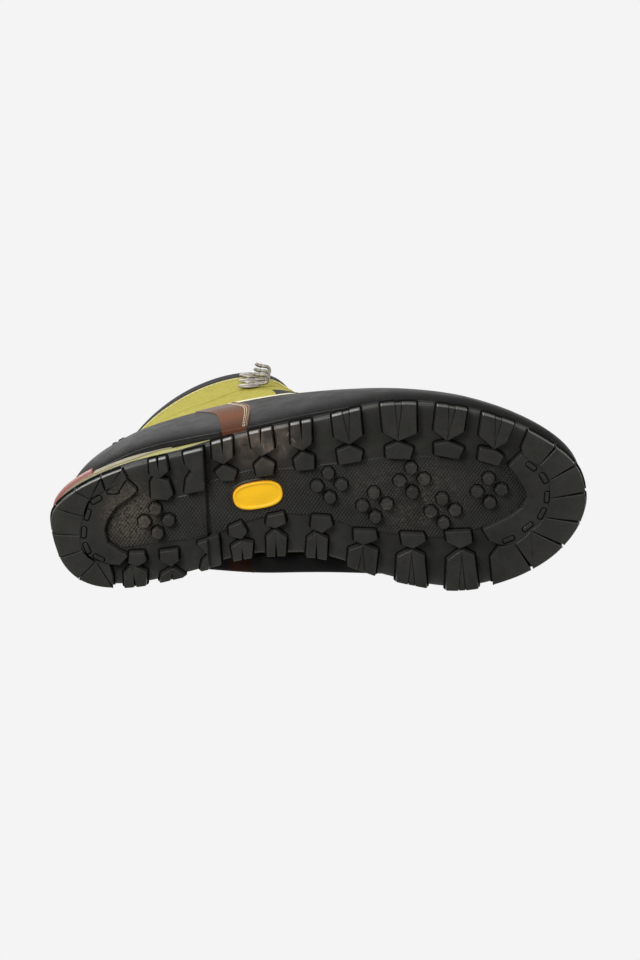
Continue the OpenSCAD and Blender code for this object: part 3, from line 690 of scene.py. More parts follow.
def grow(p, d):
    """Moves a counter-clockwise polygon outwards by d."""
    a, b = p - np.roll(p, 1, 0), np.roll(p, -1, 0) - p
    na = np.stack([a[:, 1], -a[:, 0]], 1) / np.maximum(np.linalg.norm(a, axis=1), 1e-6)[:, None]
    nb = np.stack([b[:, 1], -b[:, 0]], 1) / np.maximum(np.linalg.norm(b, axis=1), 1e-6)[:, None]
    m = na + nb
    return p + d * m / np.maximum(0.6, (m * m).sum(1) / 2)[:, None]


def block(poly, top, base, draft=0.5, bevel=0.35, r=0.7, shrink=0.0, skirt=0.9):
    """A tread block: (verts, faces, material numbers). top and base are heights above the ground surface."""
    p = rounded(poly, r)
    if shrink:
        p = grow(p, -shrink)
    n = len(p)
    # Material 3 is the near-black skirt ring at the block's foot: painted shade for the groove round it.
    levels = [(base + 0.3, draft + skirt + 0.15, 3), (base - 0.12, draft + skirt, 3), (base - 0.2, draft, 1),
              (top + bevel, 0.1, 1), (top + bevel * 0.3, -bevel * 0.35, 0), (top, -bevel, 0)]
    verts, faces, mats = [], [], []
    for z, d, _ in levels:
        q = grow(p, d)
        verts.append(np.column_stack([q, np.full(n, z)]))
    for j in range(len(levels) - 1):
        for i in range(n):
            a, b = j * n + i, j * n + (i + 1) % n
            faces.append((a, b, b + n, a + n))
            mats.append(levels[j][2] if j else 3)
    faces.append(tuple((len(levels) - 1) * n + i for i in range(n)))
    mats.append(0)
    return np.concatenate(verts), faces, mats


def lug(x0, x1, side, inner):
    """An edge block from x0 to x1 along the rim: two halves with a slit, or with a wedge between two fine cuts."""
    near, tip, far = (np.array(p, float) for p in inner)
    xm, w = (x0 + x1) / 2, min(2.2, (x1 - x0) * 0.16)
    mid = around(SOLE, edge_u(xm, side))
    end = mid + (tip - mid) * 0.8
    e = np.array([0.3, 0.0])
    single = xm < 5
    if single:
        w, end, e = 0.75, mid + (tip - mid) * 0.66, e * 0
    halves = [np.concatenate([rim(x0, xm - w, side, 4), [end - e, tip, far]]),
              np.concatenate([rim(xm + w, x1, side, 4)[::-1], [end + e, tip, near]])]
    if single:
        return halves, None
    return halves, np.concatenate([rim(xm - w + 0.5, xm + w - 0.5, side, 3), [end + e * 0.5, end - e * 0.5]])


LAT = [(-93, -84, [(-83, -22), (-88, -18), (-93, -20)]), (-58, -47, [(-47, -28), (-52, -24), (-58, -27)]),
       (-37, -25, [(-24, -32), (-31, -28), (-36, -32)]), (-14, -3, [(-3, -35), (-8, -31), (-14, -34)]),
       (9, 24, [(25, -39), (18, -34), (10, -38)]), (36, 55, [(55, -39), (45, -35), (37, -40)]),
       (67, 83, [(81, -39), (72, -34), (65, -40)]), (92, 109, [(105, -32), (98, -28), (90, -36)])]
MED = [(-111, -99, [(-98, 38), (-106, 33), (-111, 39)]), (-91, -78, [(-77, 41), (-83, 36), (-90, 40)]),
       (-49, -39, [(-38, 24), (-44, 22), (-50, 26)]), (-30, -20, [(-19, 21), (-25, 16), (-30, 21)]),
       (-8, 3, [(4, 22), (-2, 18), (-7, 22)]), (15, 30, [(32, 30), (24, 26), (16, 29)]),
       (42, 59, [(58, 34), (51, 30), (43, 34)]), (70, 88, [(86, 35), (79, 31), (71, 37)])]
INNER = [[(-93, -15), (-91, -19), (-83, -16), (-81, -8), (-84, -5), (-93, -6)],
         [(-52, -23), (-45, -19), (-47, -14), (-54, -14), (-57, -19)],
         [(-30, -27), (-24, -23), (-25, -17), (-34, -16), (-35, -22)],
         [(-8, -30), (-2, -27), (-2, -20), (-12, -19), (-13, -25)],
         [(18, -33), (25, -29), (24, -24), (12, -22), (11, -30)],
         [(45, -34), (53, -30), (51, -24), (38, -25), (38, -31)],
         [(72, -33.5), (81, -29), (78, -23), (65, -26), (65, -32)],
         [(98, -27), (103, -23), (100, -18), (89, -22), (90, -29)],
         [(-107, 26), (-99, 26), (-98, 31), (-103, 34), (-108, 32)],
         [(-90, 26), (-80, 25), (-80, 31), (-84, 35), (-90, 31)],
         [(-51, 14), (-44, 11), (-41, 17), (-44, 21), (-51, 19)],
         [(-29, 8), (-20, 6), (-19, 12), (-25, 15), (-30, 13)],
         [(-4, 8), (6, 9), (7, 14), (1, 18), (-5, 15)],
         [(19, 17), (31, 18), (32, 23), (24, 26), (19, 23)],
         [(45, 20), (58, 21), (59, 25), (52, 29), (46, 27)],
         [(70, 20), (84, 20), (85, 27), (78, 30), (71, 26)]]
HEEL_CUT = [((-110, -29), None), ((-123, -25), (-118, -12)), ((-138, -16), (-127, -7)),
    ((-147, -2), (-131, 3)),
            ((-150, 14), (-134, 14)), ((-147, 28), (-133, 23)), ((-137, 41), (-126, 30)), ((-117, 47), None)]
HEEL_IN = [[(-106, -18), (-110, -12), (-118, -12)], [(-118, -12), (-123, -9), (-127, -7)],
           [(-127, -7), (-129.5, -2), (-131, 3)], [(-131, 3), (-133, 8), (-134, 14)],
           [(-134, 14), (-134, 18), (-133, 23)], [(-133, 23), (-130, 27), (-126, 30)],
           [(-126, 30), (-119, 31), (-117, 40)]]
TOE_CUT = [((118, -38), None), ((133, -26), (123, -16)), ((144, -14), (129, -7)), ((150, 3), (129, 4)),
           ((147, 21), (126, 15)), ((137, 34), (118, 22)), ((119, 46), (109, 29)), ((96, 53), None)]
TOE_IN = [[(113, -27), (114, -23), (119, -18.5), (123, -16)], [(123, -16), (126, -12), (129, -7)],
          [(129, -7), (129.6, -1), (129, 4)], [(129, 4), (128, 10), (126, 15)],
          [(126, 15), (122.5, 19), (118, 22)],
          [(118, 22), (114, 26), (109, 29)], [(109, 29), (100, 30), (95, 37)]]
STUDS = [(-91, 8), (6, -9.5), (31, 3), (52, -11), (69, 8), (95, -3)]


def ring(cuts, inner, wedge):
    out = []
    for i, arc in enumerate(inner):
        a, b = np.array(cuts[i][0], float), np.array(cuts[i + 1][0], float)
        edge = rim_between(a, b, 8)
        d = edge[-1] - edge[0]
        d /= np.linalg.norm(d)
        if i:
            edge[0] += d * wedge
            edge[1] += d * wedge * 0.6
        if i < len(inner) - 1:
            edge[-1] -= d * wedge
            edge[-2] -= d * wedge * 0.6
        out.append(np.concatenate([edge, np.array(arc, float)[::-1]]))
    return out


def tread():
    parts = []

    def add(poly, *a, **kw):
        v, f, m = block(poly, *a, **kw)
        parts.append((v, f, m))
    for side, row in ((-1, LAT), (1, MED)):
        for x0, x1, inner in row:
            halves, wedge = lug(x0, x1, side, inner)
            for p in halves:
                add(p, 0, LUG, r=0.4, bevel=0.25)
            if wedge is not None:
                add(wedge, 0.35, LUG, r=0.2, bevel=0.2, draft=0.1)
    for p in INNER:
        add(p, 0.1, LUG - 0.95, r=0.7, draft=0.3)
    for p in ring(HEEL_CUT, HEEL_IN, 0.12):
        add(p, 0, LUG, r=0.3, shrink=0.26, draft=0.15)
    for p in ring(TOE_CUT, TOE_IN, 0.6):
        add(p, 0, LUG, r=0.3, shrink=0.26, draft=0.15)
    # Raised plates inside the rings, with short bars along their outer edge
    heel_arc = [(-107, -17), (-110, -13), (-118, -13.5), (-124, -10), (-128.5, -7), (-132.3, 3), (-135.2, 14),
                (-134.2, 23.5), (-129, 29), (-126, 31.5), (-119, 32.3), (-113, 33)]
    heel_pit = [(-108, 28), (-113, 25), (-119, 20), (-120.5, 12), (-118, 5), (-113, -2), (-105, -7),
        (-101, -11)]
    add(heel_arc + heel_pit, 0.5, LUG, r=1.0, draft=0.4, bevel=0.5)
    toe_arc = [(100, 29), (109.5, 30.2), (118.6, 23.2), (127, 16), (130.4, 4), (130, -7), (124, -17.5),
        (119, -20.5),
               (113.5, -24)]
    toe_pit = [(106, -17), (110.5, -11), (114.5, -4), (116.4, 2), (113.5, 8), (106, 13), (98, 16.5),
        (91, 19.5), (95, 26.5)]
    add(toe_arc + toe_pit, 0.5, LUG, r=1.0, draft=0.4, bevel=0.5)

    def bars(spots):
        for x, y, ang in spots:
            a = math.radians(ang)
            e, f = np.array([math.cos(a), math.sin(a)]), np.array([-math.sin(a), math.cos(a)])
            quad = [np.array([x, y]) + e * u + f * w for u,
                w in ((-3.0, -1.0), (3.0, -1.0), (3.0, 1.0), (-3.0, 1.0))]
            add(quad, 0.25, 0.6, r=0.95, draft=0.1, bevel=0.2, skirt=0.75)
    bars([(-114, -11.2, 180), (-123.6, -6.5, 150), (-129, 2, 110), (-131.7, 12.5, 97), (-130.7, 22, 70),
        (-124.4, 28.2, 30)])
    bars([(118.6, -16.2, 42), (125.6, -8.5, 62), (127.4, 3, 94), (124.5, 12.5, 118), (116.4, 19.6, 143),
        (105.5, 26.2, 160)])
    # Breast blocks
    add([(-74, -31.4), (-63.4, -33.8), (-63.4, -10), (-74.5, -8), (-73, -16), (-69.5, -21), (-73, -25)], 0,
        LUG, r=0.8)
    add([(-68, 38.6), (-56.5, 36), (-57, 18), (-69, 22), (-65.5, 26), (-62.5, 29), (-66.5, 33)], 0.3, LUG,
        r=0.8)
    # Studs
    for cx, cy in STUDS:
        for a in (-2, 88, 178, 268):
            e = np.array([math.cos(math.radians(a)), math.sin(math.radians(a))])
            f = np.array([-e[1], e[0]])
            c = np.array([cx, cy]) + e * (6.9 if a % 180 > 80 and a % 180 < 100 else 6.5)
            hexa = [c + e * 3.4 + f * 1.3, c + e * 1.2 + f * 3.2, c - e * 1.6 + f * 2.7, c - e * 3.3,
                    c - e * 1.6 - f * 2.7, c + e * 1.2 - f * 3.2, c + e * 3.4 - f * 1.3]
            add(hexa, 0.5, LUG - 0.95, r=0.7, draft=0.4, bevel=0.4, skirt=0.6)
    return parts


def bent(bm, step=6.0):
    """Cuts flat faces so that they can follow the curved profile of the sole."""
    for x in list(np.arange(-150, -130, 4.0)) + [-64.2, -63.4,
            -62.6] + list(np.arange(-58, 22, 8.0)) + list(np.arange(85, 150, step)):
        bmesh.ops.bisect_plane(bm, geom=bm.verts[:] + bm.edges[:] + bm.faces[:], plane_co=(x, 0, 0),
            plane_no=(1, 0, 0))


verts, faces, mats, base = [], [], [], 0
for v, f, m in tread():
    verts.append(v)
    faces += [tuple(a + base for a in q) for q in f]
    mats += m
    base += len(v)
# Floor of the tread, its rim and its side wall
N = 240
us = np.arange(N) / N


def inset(d):
    a, b = around(SOLE, us - 0.004), around(SOLE, us + 0.004)
    t = (b - a) / np.linalg.norm(b - a, axis=1, keepdims=True)
    return around(SOLE, us) + d * np.stack([t[:, 1], -t[:, 0]], 1)


floor_rings = [(3.0, LUG - 0.1, 1), (1.9, LUG, 1), (0.8, LUG + 0.5, 1), (0.45, LUG + 1.2, 2)]
k0 = base
for d, z, _ in floor_rings:
    verts.append(np.column_stack([inset(d), np.full(N, z)]))
for j in range(len(floor_rings) - 1):
    for i in range(N):
        a, b = k0 + j * N + i, k0 + j * N + (i + 1) % N
        faces.append((a, a + N, b + N, b))
        mats.append(floor_rings[j][2])
faces.append(tuple(k0 + i for i in range(N)))
mats.append(1)
base = k0 + len(floor_rings) * N
centre = [(-62.2, -12), (-50, -15.5), (-38, -18.5), (-10, -19.5), (15, -22.5), (36, -24), (57, -24.5),
    (78, -22), (96, -18),
          (105, -16.5), (110.5, -11), (114.5, -4), (116.4, 2), (113.5, 8), (106, 13), (98, 16.5), (88, 20),
          (67, 24.5),
          (50, 23), (33, 19.5), (19, 16), (9, 12), (-5, 8.5), (-16, 7.5), (-30, 9), (-41, 12), (-51, 16),
          (-60.5, 19.5)]
v, f, m = block(centre, LUG - 0.9, LUG, draft=0.3, bevel=0.25, r=1.5)
verts.append(v)
faces += [tuple(a + base for a in q) for q in f]
mats += [4 if x == 0 else 1 for x in m]
base += len(v)
heel_centre = [(-100, -9), (-92, -3), (-79, -5), (-66, -7), (-65.5, 7), (-64, 18), (-72, 20), (-92, 22),
    (-111, 24), (-118, 19),
               (-119, 12), (-116, 5), (-110, -2)]
v, f, m = block(heel_centre, LUG - 0.6, LUG, draft=0.3, bevel=0.25, r=1.5)
verts.append(v)
faces += [tuple(a + base for a in q) for q in f]
mats += [4 if x == 0 else 1 for x in m]
verts = np.concatenate(verts)
bm = bmesh.new()
bv = [bm.verts.new(p) for p in verts]
for q, mi in zip(faces, mats):
    try:
        fa = bm.faces.new([bv[a] for a in q])
        fa.material_index = mi
        fa.smooth = False
    except ValueError:
        pass
bent(bm)
for q in bm.verts:
    q.co.z += float(ground_z(q.co.x))
for q in bm.verts:
    q.co *= MM
bmesh.ops.recalc_face_normals(bm, faces=bm.faces[:])
me = bpy.data.meshes.new("outsole_tread")
bm.to_mesh(me)
bm.free()
sole = bpy.data.objects.new("outsole_tread", me)
bpy.context.scene.collection.objects.link(sole)
for key in ("tread", "tread_low", "wall", "groove_painted_shade", "knurl"):
    me.materials.append(M[key])
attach(sole, "boot")


def band(name, mat, profile, x_range=None, body="boot", n=360, close=True, wobble=None):
    """A moulded layer round the sole: profile is [(inset, height function)] from the bottom up."""
    u = np.arange(n) / n
    a, b = around(SOLE, u - 0.004), around(SOLE, u + 0.004)
    t = (b - a) / np.linalg.norm(b - a, axis=1, keepdims=True)
    nn = np.stack([t[:, 1], -t[:, 0]], 1)
    p0 = around(SOLE, u)
    rows = []
    for d, h in profile:
        p = p0 + np.asarray(d(p0[:, 0]) if callable(d) else d)[..., None] * nn if callable(d) else p0 + d * nn
        rows.append(np.column_stack([p, h(p0[:, 0])]))
    keep = np.ones(n, bool) if x_range is None else (p0[:, 0] >= x_range[0]) & (p0[:, 0] <= x_range[1])
    verts = np.stack(rows, 1).reshape(-1, 3)
    k = len(profile)
    faces = []
    for i in range(n):
        i2 = (i + 1) % n
        if keep[i] and keep[i2]:
            faces += [(i * k + j, i2 * k + j, i2 * k + j + 1, i * k + j + 1) for j in range(k - 1)]
    return mesh_object(name, verts, faces, body, mat)


top = outsole_top
wall = band("outsole_wall", M["wall"], [
    (0.45, lambda x: LUG + 1.2 + ground_z(x)), (0.5, lambda x: LUG + 2.0 + ground_z(x) * 0.9),
    (0.55, lambda x: np.maximum(top(x) - 2.6, LUG + 2.2 + ground_z(x))),
    (0.3, lambda x: np.maximum(top(x) - 1.9, LUG + 2.4 + ground_z(x))),
    (0.1, lambda x: np.maximum(top(x) - 1.3, LUG + 2.6 + ground_z(x))),
    (0.15, lambda x: np.maximum(top(x) - 0.6, LUG + 2.9 + ground_z(x))),
    (0.7, lambda x: np.maximum(top(x), LUG + 3.1 + ground_z(x))),
    (6, lambda x: np.maximum(top(x), LUG + 3.1 + ground_z(x)) + 0.02)])
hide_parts("outsole")


def wedge_z(x):
    x = np.asarray(x, float)
    return np.minimum(17 + 8 * np.clip((x + 102) / 24, 0, 1), stack_z(x) - ease((-72 - x) / 8))


def bulge(z0, z1, d0, d1=None, n=5, out=0.5):
    """Profile rows between two height functions that swell outwards a little."""
    d1 = d0 if d1 is None else d1
    rows = []
    for i in range(n + 1):
        w = i / n
        rows.append((d0 + (d1 - d0) * w - out * math.sin(math.pi * w),
                     lambda x, w=w: z0(x) + (z1(x) - z0(x)) * w))
    return rows


foam = band("midsole_wedge", M["foam"], [(8, lambda x: top(x) + 0.1)] + bulge(lambda x: top(x) + 0.1,
    wedge_z, 1.9, 1.7, 6, 0.5)
            + [(8, wedge_z)], (-152, -38))
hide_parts("midsole")
fr = band("heel_frame_shell", M["frame"], [(8, lambda x: wedge_z(x) + 0.1)]
          + bulge(lambda x: wedge_z(x) + 0.1, lambda x: np.maximum(stack_z(x), wedge_z(x) + 0.2), 1.3, 1.7,
          6, 0.35)
          + [(8, lambda x: np.maximum(stack_z(x), wedge_z(x) + 0.2))], (-152, -79.5))
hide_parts("heel_frame")
fore = band("forefoot_midsole_edge", M["foam_black"], [(8, lambda x: top(x) + 0.1)]
            + bulge(lambda x: top(x) + 0.1, stack_z, 2.3, 3.0, 5, 0.3) + [(14, stack_z)], (-39, 152))
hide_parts("forefoot_midsole")
WELT_LOW, WELT_HIGH, WELT_LIP = 19.8, 24.6, 24.9
welt = band("heel_ledge", M["welt"], [(7, const(WELT_LOW))] + bulge(const(WELT_LOW), const(WELT_HIGH), 1.3,
    0.9, 6, 0.4)
            + [(2, const(WELT_LIP))], (-152, -126))
modify(welt, "SOLIDIFY", thickness=1.2 * MM, offset=-1.0)
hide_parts("heel_welt")


# Oval inlay with a raised rim
def inlay():
    L, W, c = 14.0, 8.0, np.array([-34.0, -4.0])
    a = math.radians(-8)
    rot = np.array([[math.cos(a), -math.sin(a)], [math.sin(a), math.cos(a)]])
    out = []
    n = 96
    th = np.arange(n) * 2 * np.pi / n

    def oval(d):
        l, w = L - d, W - d
        return np.stack([np.sign(np.cos(th)) * abs(np.cos(th)) ** 0.72 * l,
            np.sign(np.sin(th)) * abs(np.sin(th)) ** 0.8 * w], 1) @ rot.T + c
    zb = 3 + LUG - 0.9
    rows = [(0.0, zb + 0.6), (0.0, zb - 1.3), (0.25, zb - 1.75), (0.9, zb - 1.9), (1.5, zb - 1.8),
        (1.9, zb - 1.35), (2.4, zb - 1.3),
            (4.2, zb - 1.45), (6.2, zb - 1.55)]
    v = np.concatenate([np.column_stack([oval(d), np.full(n, z)]) for d, z in rows])
    f = [(j * n + i, j * n + (i + 1) % n, (j + 1) * n + (i + 1) % n, (j + 1) * n + i)
         for j in range(len(rows) - 1) for i in range(n)]
    f.append(tuple((len(rows) - 1) * n + i for i in range(n)))
    ob = mesh_object("inlay_oval", v, [q[::-1] for q in f], "boot", M["inlay"])
    ob.data.materials.append(M["inlay_rim"])
    for q in ob.data.polygons:
        q.material_index = 1 if q.index < 2 * n else 0
    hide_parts("sole_inlay")
    # the plate's surround
    rows = [(-0.1, zb + 0.3), (-0.1, zb - 0.55), (-0.9, zb - 0.85), (-1.5, zb - 0.4), (-1.9, zb + 0.6)]
    v = np.concatenate([np.column_stack([oval(d), np.full(n, z)]) for d, z in rows])
    f = [(j * n + i, (j + 1) * n + i, (j + 1) * n + (i + 1) % n, j * n + (i + 1) % n)
         for j in range(len(rows) - 1) for i in range(n)]
    ob = mesh_object("inlay_surround", v, [q[::-1] for q in f], "boot", M["tread_low"])


inlay()


# ------------------------------------------------------------------ upper
def both(x_low, t_low, x_high, t_high, side, v):
    """u of an edge that runs from x_low on ring t_low to x_high on ring t_high."""
    a, b = u_at_x(x_low, t_low, side), u_at_x(x_high, t_high, side)
    return a + (b - a) * np.asarray(v, float)


def seam_t(line, d=0.0):
    return lambda u: t_at(u, line) + d


def fix_normals(ob):
    bm = bmesh.new()
    bm.from_mesh(ob.data)
    bmesh.ops.recalc_face_normals(bm, faces=bm.faces[:])
    bm.to_mesh(ob.data)
    bm.free()


EDGE, UNDER = 0.003, 0.002
SEAM_X = -25.0


def front_seam(side, low_t, high_t):
    """The upright seam between the black front and the yellow quarter."""
    def edge(v):
        v = np.asarray(v, float)
        return u_at_x(SEAM_X + 0 * v, low_t + (high_t - low_t) * v, side)
    return edge


SEAM_LOW = float(t_at(u_at_x(SEAM_X, 0.45, -1).reshape(1), RAND)[0]) - 0.02
SEAM_HIGH = float(t_at(u_at_x(SEAM_X, 0.7, -1).reshape(1), FLEX_LOW)[0]) - 0.004


def edge_of(kind, side):
    """The front or back edge of a side patch."""
    a = (-39, 0.02, -48.5, 0.43) if kind == "front" else (-53, 0.02, -69.5, 0.43)
    return lambda v: both(*a, side, v)


def shift(f, d):
    return lambda v: f(v) + d


def crease(u, t, w, v):
    return 0.25 * np.sin(u * 90 + t * 14) * np.sin(t * 31 + u * 23)


def rand_edge(u, t, w, v):
    """The rand thins at its upper edge and curls in towards the sole at its lower edge."""
    return -0.9 * (v > 0.999) - 4.6 * np.clip(1 - v / 0.34, 0, 1) ** 2


low, rand_t = const(0.004), seam_t(RAND)
# Rubber rand: toe part, heel part and the patch between them on each side
toe = patch("toe_rand_shell", "boot", M["rand"], shift(edge_of("front", -1), UNDER),
    shift(edge_of("front", 1), -UNDER - 1), low, rand_t,
            3.2, 2.0, 260, 26, 0.8, bump=rand_edge)
heel = patch("heel_rand_shell", "boot", M["rand"], shift(edge_of("back", -1), -UNDER),
    shift(edge_of("back", 1), UNDER), low, rand_t,
             3.2, 2.0, 160, 22, 0.8, bump=rand_edge)
for ob, node in ((toe, "toe_rand"), (heel, "heel_rand")):
    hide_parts(node)
for side, tag in ((-1, "lateral"), (1, "medial")):
    a, b = (edge_of("front", side), edge_of("back", side)) if side < 0 else (edge_of("back", side),
        edge_of("front", side))
    # the medial side patch takes the painted-shade copy of the print
    ob = patch("side_patch_" + tag + "_face", "boot", M["patch" if side < 0 else "patch_painted_shade"], a, b, low,
        seam_t(RAND, 0.002), 3.6, 2.4, 30, 30, 0.7,
               bump=rand_edge)
    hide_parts("side_patch_" + tag)
    # double stitching and a dark edge on the front side
    v = np.linspace(0.03, 0.97, 60)
    f, g = edge_of("front", side)(v), edge_of("back", side)(v)
    tt = 0.004 + (t_at(f, RAND) - 0.004) * v
    curl = rand_edge(0, 0, 0, v)
    for k in (0.10, 0.16):
        p, n = on_path(f + (g - f) * k, tt, 2.45 + curl)
        stitches("patch_stitches_%s_%d" % (tag, round(k * 100)), "boot", M["thread"], p, n, 2.6, 2.0, 0.2)
    p, n = on_path(f + (g - f) * 0.02, tt, 2.2 + curl)
    vv, ff = sweep(p, 0.75, 8)
    mesh_object("patch_edge_" + tag, vv, ff, "boot", M["patch_edge"])



def margin(name, mat, ua, ub, n=80):
    """The edge of the upper, pulled under the insole board."""
    u = np.linspace(ua, ub, n)
    base = skin(u, 0.004)[:, 2]
    rows = []
    for d, dz in ((-2.3, 0.5), (-2.6, -0.2), (-3.1, -0.8), (-4.0, -1.3), (-5.4, -1.7), (-7.5, -1.9),
            (-10, -2.0), (-15, -2.0)):
        q = off(u, np.full(n, 0.004), np.full(n, d))
        q[:, 2] = base + dz
        rows.append(q)
    m = len(rows)
    ob = mesh_object(name, np.stack(rows, 1).reshape(-1, 3), grid_faces(n - 1, m - 1), "boot", mat)
    fix_normals(ob)
    modify(ob, "SOLIDIFY", thickness=0.8 * MM, offset=1.0)
    return ob


cuts = [float(edge_of("front", -1)(0)), float(edge_of("back", -1)(0)), float(edge_of("back", 1)(0)),
    float(edge_of("front", 1)(0))]
margin("margin_toe", M["rand"], cuts[3] - 1, cuts[0], 200)
margin("margin_lateral", M["patch"], cuts[0], cuts[1], 16)
margin("margin_heel", M["rand"], cuts[1], cuts[2], 140)
# the medial margin takes the painted-shade copy of the print too
margin("margin_medial", M["patch_painted_shade"], cuts[2], cuts[3], 16)

vamp = patch("vamp_shell", "boot", M["black_suede"], front_seam(-1, SEAM_LOW, THROAT),
    shift(front_seam(1, SEAM_LOW, THROAT), -1.0), seam_t(RAND, -0.02),
             const(THROAT - EDGE), 1.7, 0.0, 220, 26, 0.5, bump=crease)
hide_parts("vamp")


def gap_edge(g0, t0, g1, t1, side):
    a, b = u_at_gap(g0, t0, side), u_at_gap(g1, t1, side)
    return lambda v: a + (b - a) * np.asarray(v, float)


for side, tag in ((-1, "lateral"), (1, "medial")):
    fr = gap_edge(gap_g(THROAT) + 1, THROAT, gap_g(0.73) + 1, 0.73, side)
    seam = front_seam(side, THROAT, SEAM_HIGH)
    a, b = (fr, seam) if side < 0 else (seam, fr)
    ob = patch("facing_%s_shell" % tag, "boot", M["black_suede"], a, b, const(THROAT + EDGE),
        seam_t(FLEX_LOW, -0.004), 1.7, 0.0, 60, 30, 0.5)
    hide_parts("facing_" + tag)
    # stitched eyestay along the throat edge
    v = np.linspace(0.02, 0.98, 60)
    f = fr(v)
    tt = THROAT + EDGE + (t_at(f, FLEX_LOW) - 0.004 - THROAT - EDGE) * v
    sgn = 1 if side < 0 else -1
    for k in (0.008, 0.011):
        p, n = on_path(f + sgn * k, tt, 0.05)
        stitches("facing_stitches_%s_%d" % (tag, round(k * 1000)), "boot", M["thread_dark"], p, n, 2.4, 1.8,
            0.22)
    # quarter
    seam, q1 = front_seam(side, SEAM_LOW, SEAM_HIGH), 0.5
    a, b = (shift(seam, EDGE), const(q1 - 0.0015)) if side < 0 else (const(q1 + 0.0015), shift(seam, -EDGE))
    ob = patch("quarter_%s_shell" % tag, "boot", M["suede"], a, b, seam_t(RAND, -0.02),
        seam_t(FLEX_LOW, -0.004), 1.7, 0.0, 150, 16, 0.4)
    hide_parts("quarter_" + tag)
    # thin pale binding where the rand meets the leather, near the patch
    us = np.linspace(float(u_at_x(-10, 0.4, side)), float(u_at_x(-52, 0.4, side)), 40)
    p, n = on_path(us, t_at(us, RAND) + 0.006, 0.9)
    vv, ff = sweep(p, np.minimum(1.5, 0.4 + 3 * np.sin(np.linspace(0, np.pi, 40))), 8)
    mesh_object("rand_binding_" + tag, vv, ff, "boot", M["cream"])

# Bending panel at the ankle
def flex_edge(side):
    a, b = u_at_gap(gap_g(0.76) + 1, 0.76, side), u_at_gap(gap_g(0.79) + 1, 0.79, side)
    return lambda v: a + (b - a) * np.asarray(v, float)


def wrinkle(u, t, w, v):
    return -0.35 * np.sin(np.pi * v) * (1 + 0.4 * np.sin(u * 120))


flex = patch("ankle_panel", "boot", M["suede"], flex_edge(-1), flex_edge(1), seam_t(FLEX_LOW, 0.001),
    seam_t(FLEX_HIGH, -0.001), 1.7, 0.0, 260, 10, 0.3,
             bump=wrinkle)
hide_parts("ankle_flex_panel")


def bend_between(ob, low_line, high_line):
    """The panel turns with the cuff more and more from its lower seam to its upper seam."""
    for m in list(ob.modifiers):
        pass
    bpy.context.view_layer.update()
    deps = bpy.context.evaluated_depsgraph_get()
    me = bpy.data.meshes.new_from_object(ob.evaluated_get(deps))
    ob.modifiers.clear()
    ob.data = me
    ob.parent = None
    if "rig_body" in ob:
        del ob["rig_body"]
    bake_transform(ob, "boot", "cuff", (-0.062, 0, 0.100), (-0.062, 0, 0.104))
    co = np.array([q.co for q in me.vertices]) / MM
    lo = np.interp(co[:, 0], *np.array(low_line, float).T)
    hi = np.interp(co[:, 0], *np.array(high_line, float).T)
    w = ease((co[:, 2] - lo) / np.maximum(hi - lo, 0.5))
    me.attributes["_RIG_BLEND"].data.foreach_set("value", w.astype(np.float32))


bend_between(flex, FLEX_LOW, FLEX_HIGH)


def strip_edge(side):
    xa = float(knot(FRONT, 0.80)[0]) - 18
    xb = float(knot(FRONT, COLLAR)[0]) - 15
    a, b = u_at_x(xa, 0.80, side), u_at_x(xb, COLLAR, side)
    return lambda v: a + (b - a) * np.asarray(v, float)


def front_edge(side, t0=0.80, t1=COLLAR):
    a, b = u_at_gap(gap_g(t0) + 1, t0, side), u_at_gap(gap_g(t1) + 1, t1, side)
    return lambda v: a + (b - a) * np.asarray(v, float)


for side, tag in ((-1, "lateral"), (1, "medial")):
    se, fe = strip_edge(side), front_edge(side)
    back = const(0.5 - 0.0015) if side < 0 else const(0.5 + 0.0015)
    a, b = (shift(se, EDGE), back) if side < 0 else (back, shift(se, -EDGE))
    ob = patch("cuff_%s_shell" % tag, "cuff", M["suede"], a, b, seam_t(FLEX_HIGH, 0.003),
        const(COLLAR - EDGE), 1.7, 0.0, 150, 26, 0.4)
    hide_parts("cuff_" + tag)
    a, b = (fe, se) if side < 0 else (se, fe)
    ob = patch("cuff_facing_%s_shell" % tag, "cuff", M["suede"], a, b, seam_t(FLEX_HIGH, 0.003),
        const(COLLAR - EDGE), 2.3, 0.55,
               40, 40, 0.5)
    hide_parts("cuff_facing_" + tag)
    # dark edge tape with yellow stitches down the front edge
    v = np.linspace(0.0, 1.0, 50)
    f = fe(v)
    tt = t_at(f, FLEX_HIGH) + 0.003 + (COLLAR - EDGE - t_at(f, FLEX_HIGH) - 0.003) * v
    sgn = 1 if side < 0 else -1
    m = 7
    rows = []
    for i in range(m):
        w = i / (m - 1)
        pp, nn = on_path(f + sgn * 0.016 * w, tt, 0.65 + 0.35 * math.sin(math.pi * min(1, w * 1.15)))
        rows.append(pp)
    grid = np.stack(rows, 1).reshape(-1, 3)
    ob = mesh_object("edge_tape_" + tag, grid, grid_faces(len(v) - 1, m - 1), "cuff", M["trim"])
    modify(ob, "SOLIDIFY", thickness=0.7 * MM, offset=0.0)
    p, n = on_path(f + sgn * 0.0125, tt, 0.98)
    stitches("tape_stitches_" + tag, "cuff", M["thread_yellow"], p, n, 2.8, 2.0, 0.3)
    # stitching beside the upper edge of the suede
    us = np.linspace(float(fe(1.0)) + sgn * 0.02, 0.5 - sgn * 0.02, 200)
    p, n = on_path(us, np.full(us.shape, COLLAR - 0.012), 0.1)
    stitches("collar_stitches_" + tag, "cuff", M["thread_yellow"], p, n, 3.0, 2.1, 0.28)
    # side seam
    v = np.linspace(0.03, 0.97, 50)
    f = se(v)
    tt = t_at(f, FLEX_HIGH) + 0.003 + (COLLAR - EDGE - t_at(f, FLEX_HIGH) - 0.003) * v
    for k in (-0.004, -0.0075):
        p, n = on_path(f + sgn * k, tt, 0.62)
        stitches("facing_seam_%s_%d" % (tag, round(-k * 10000)), "cuff", M["thread_yellow"], p, n, 2.2, 1.6,
            0.2)

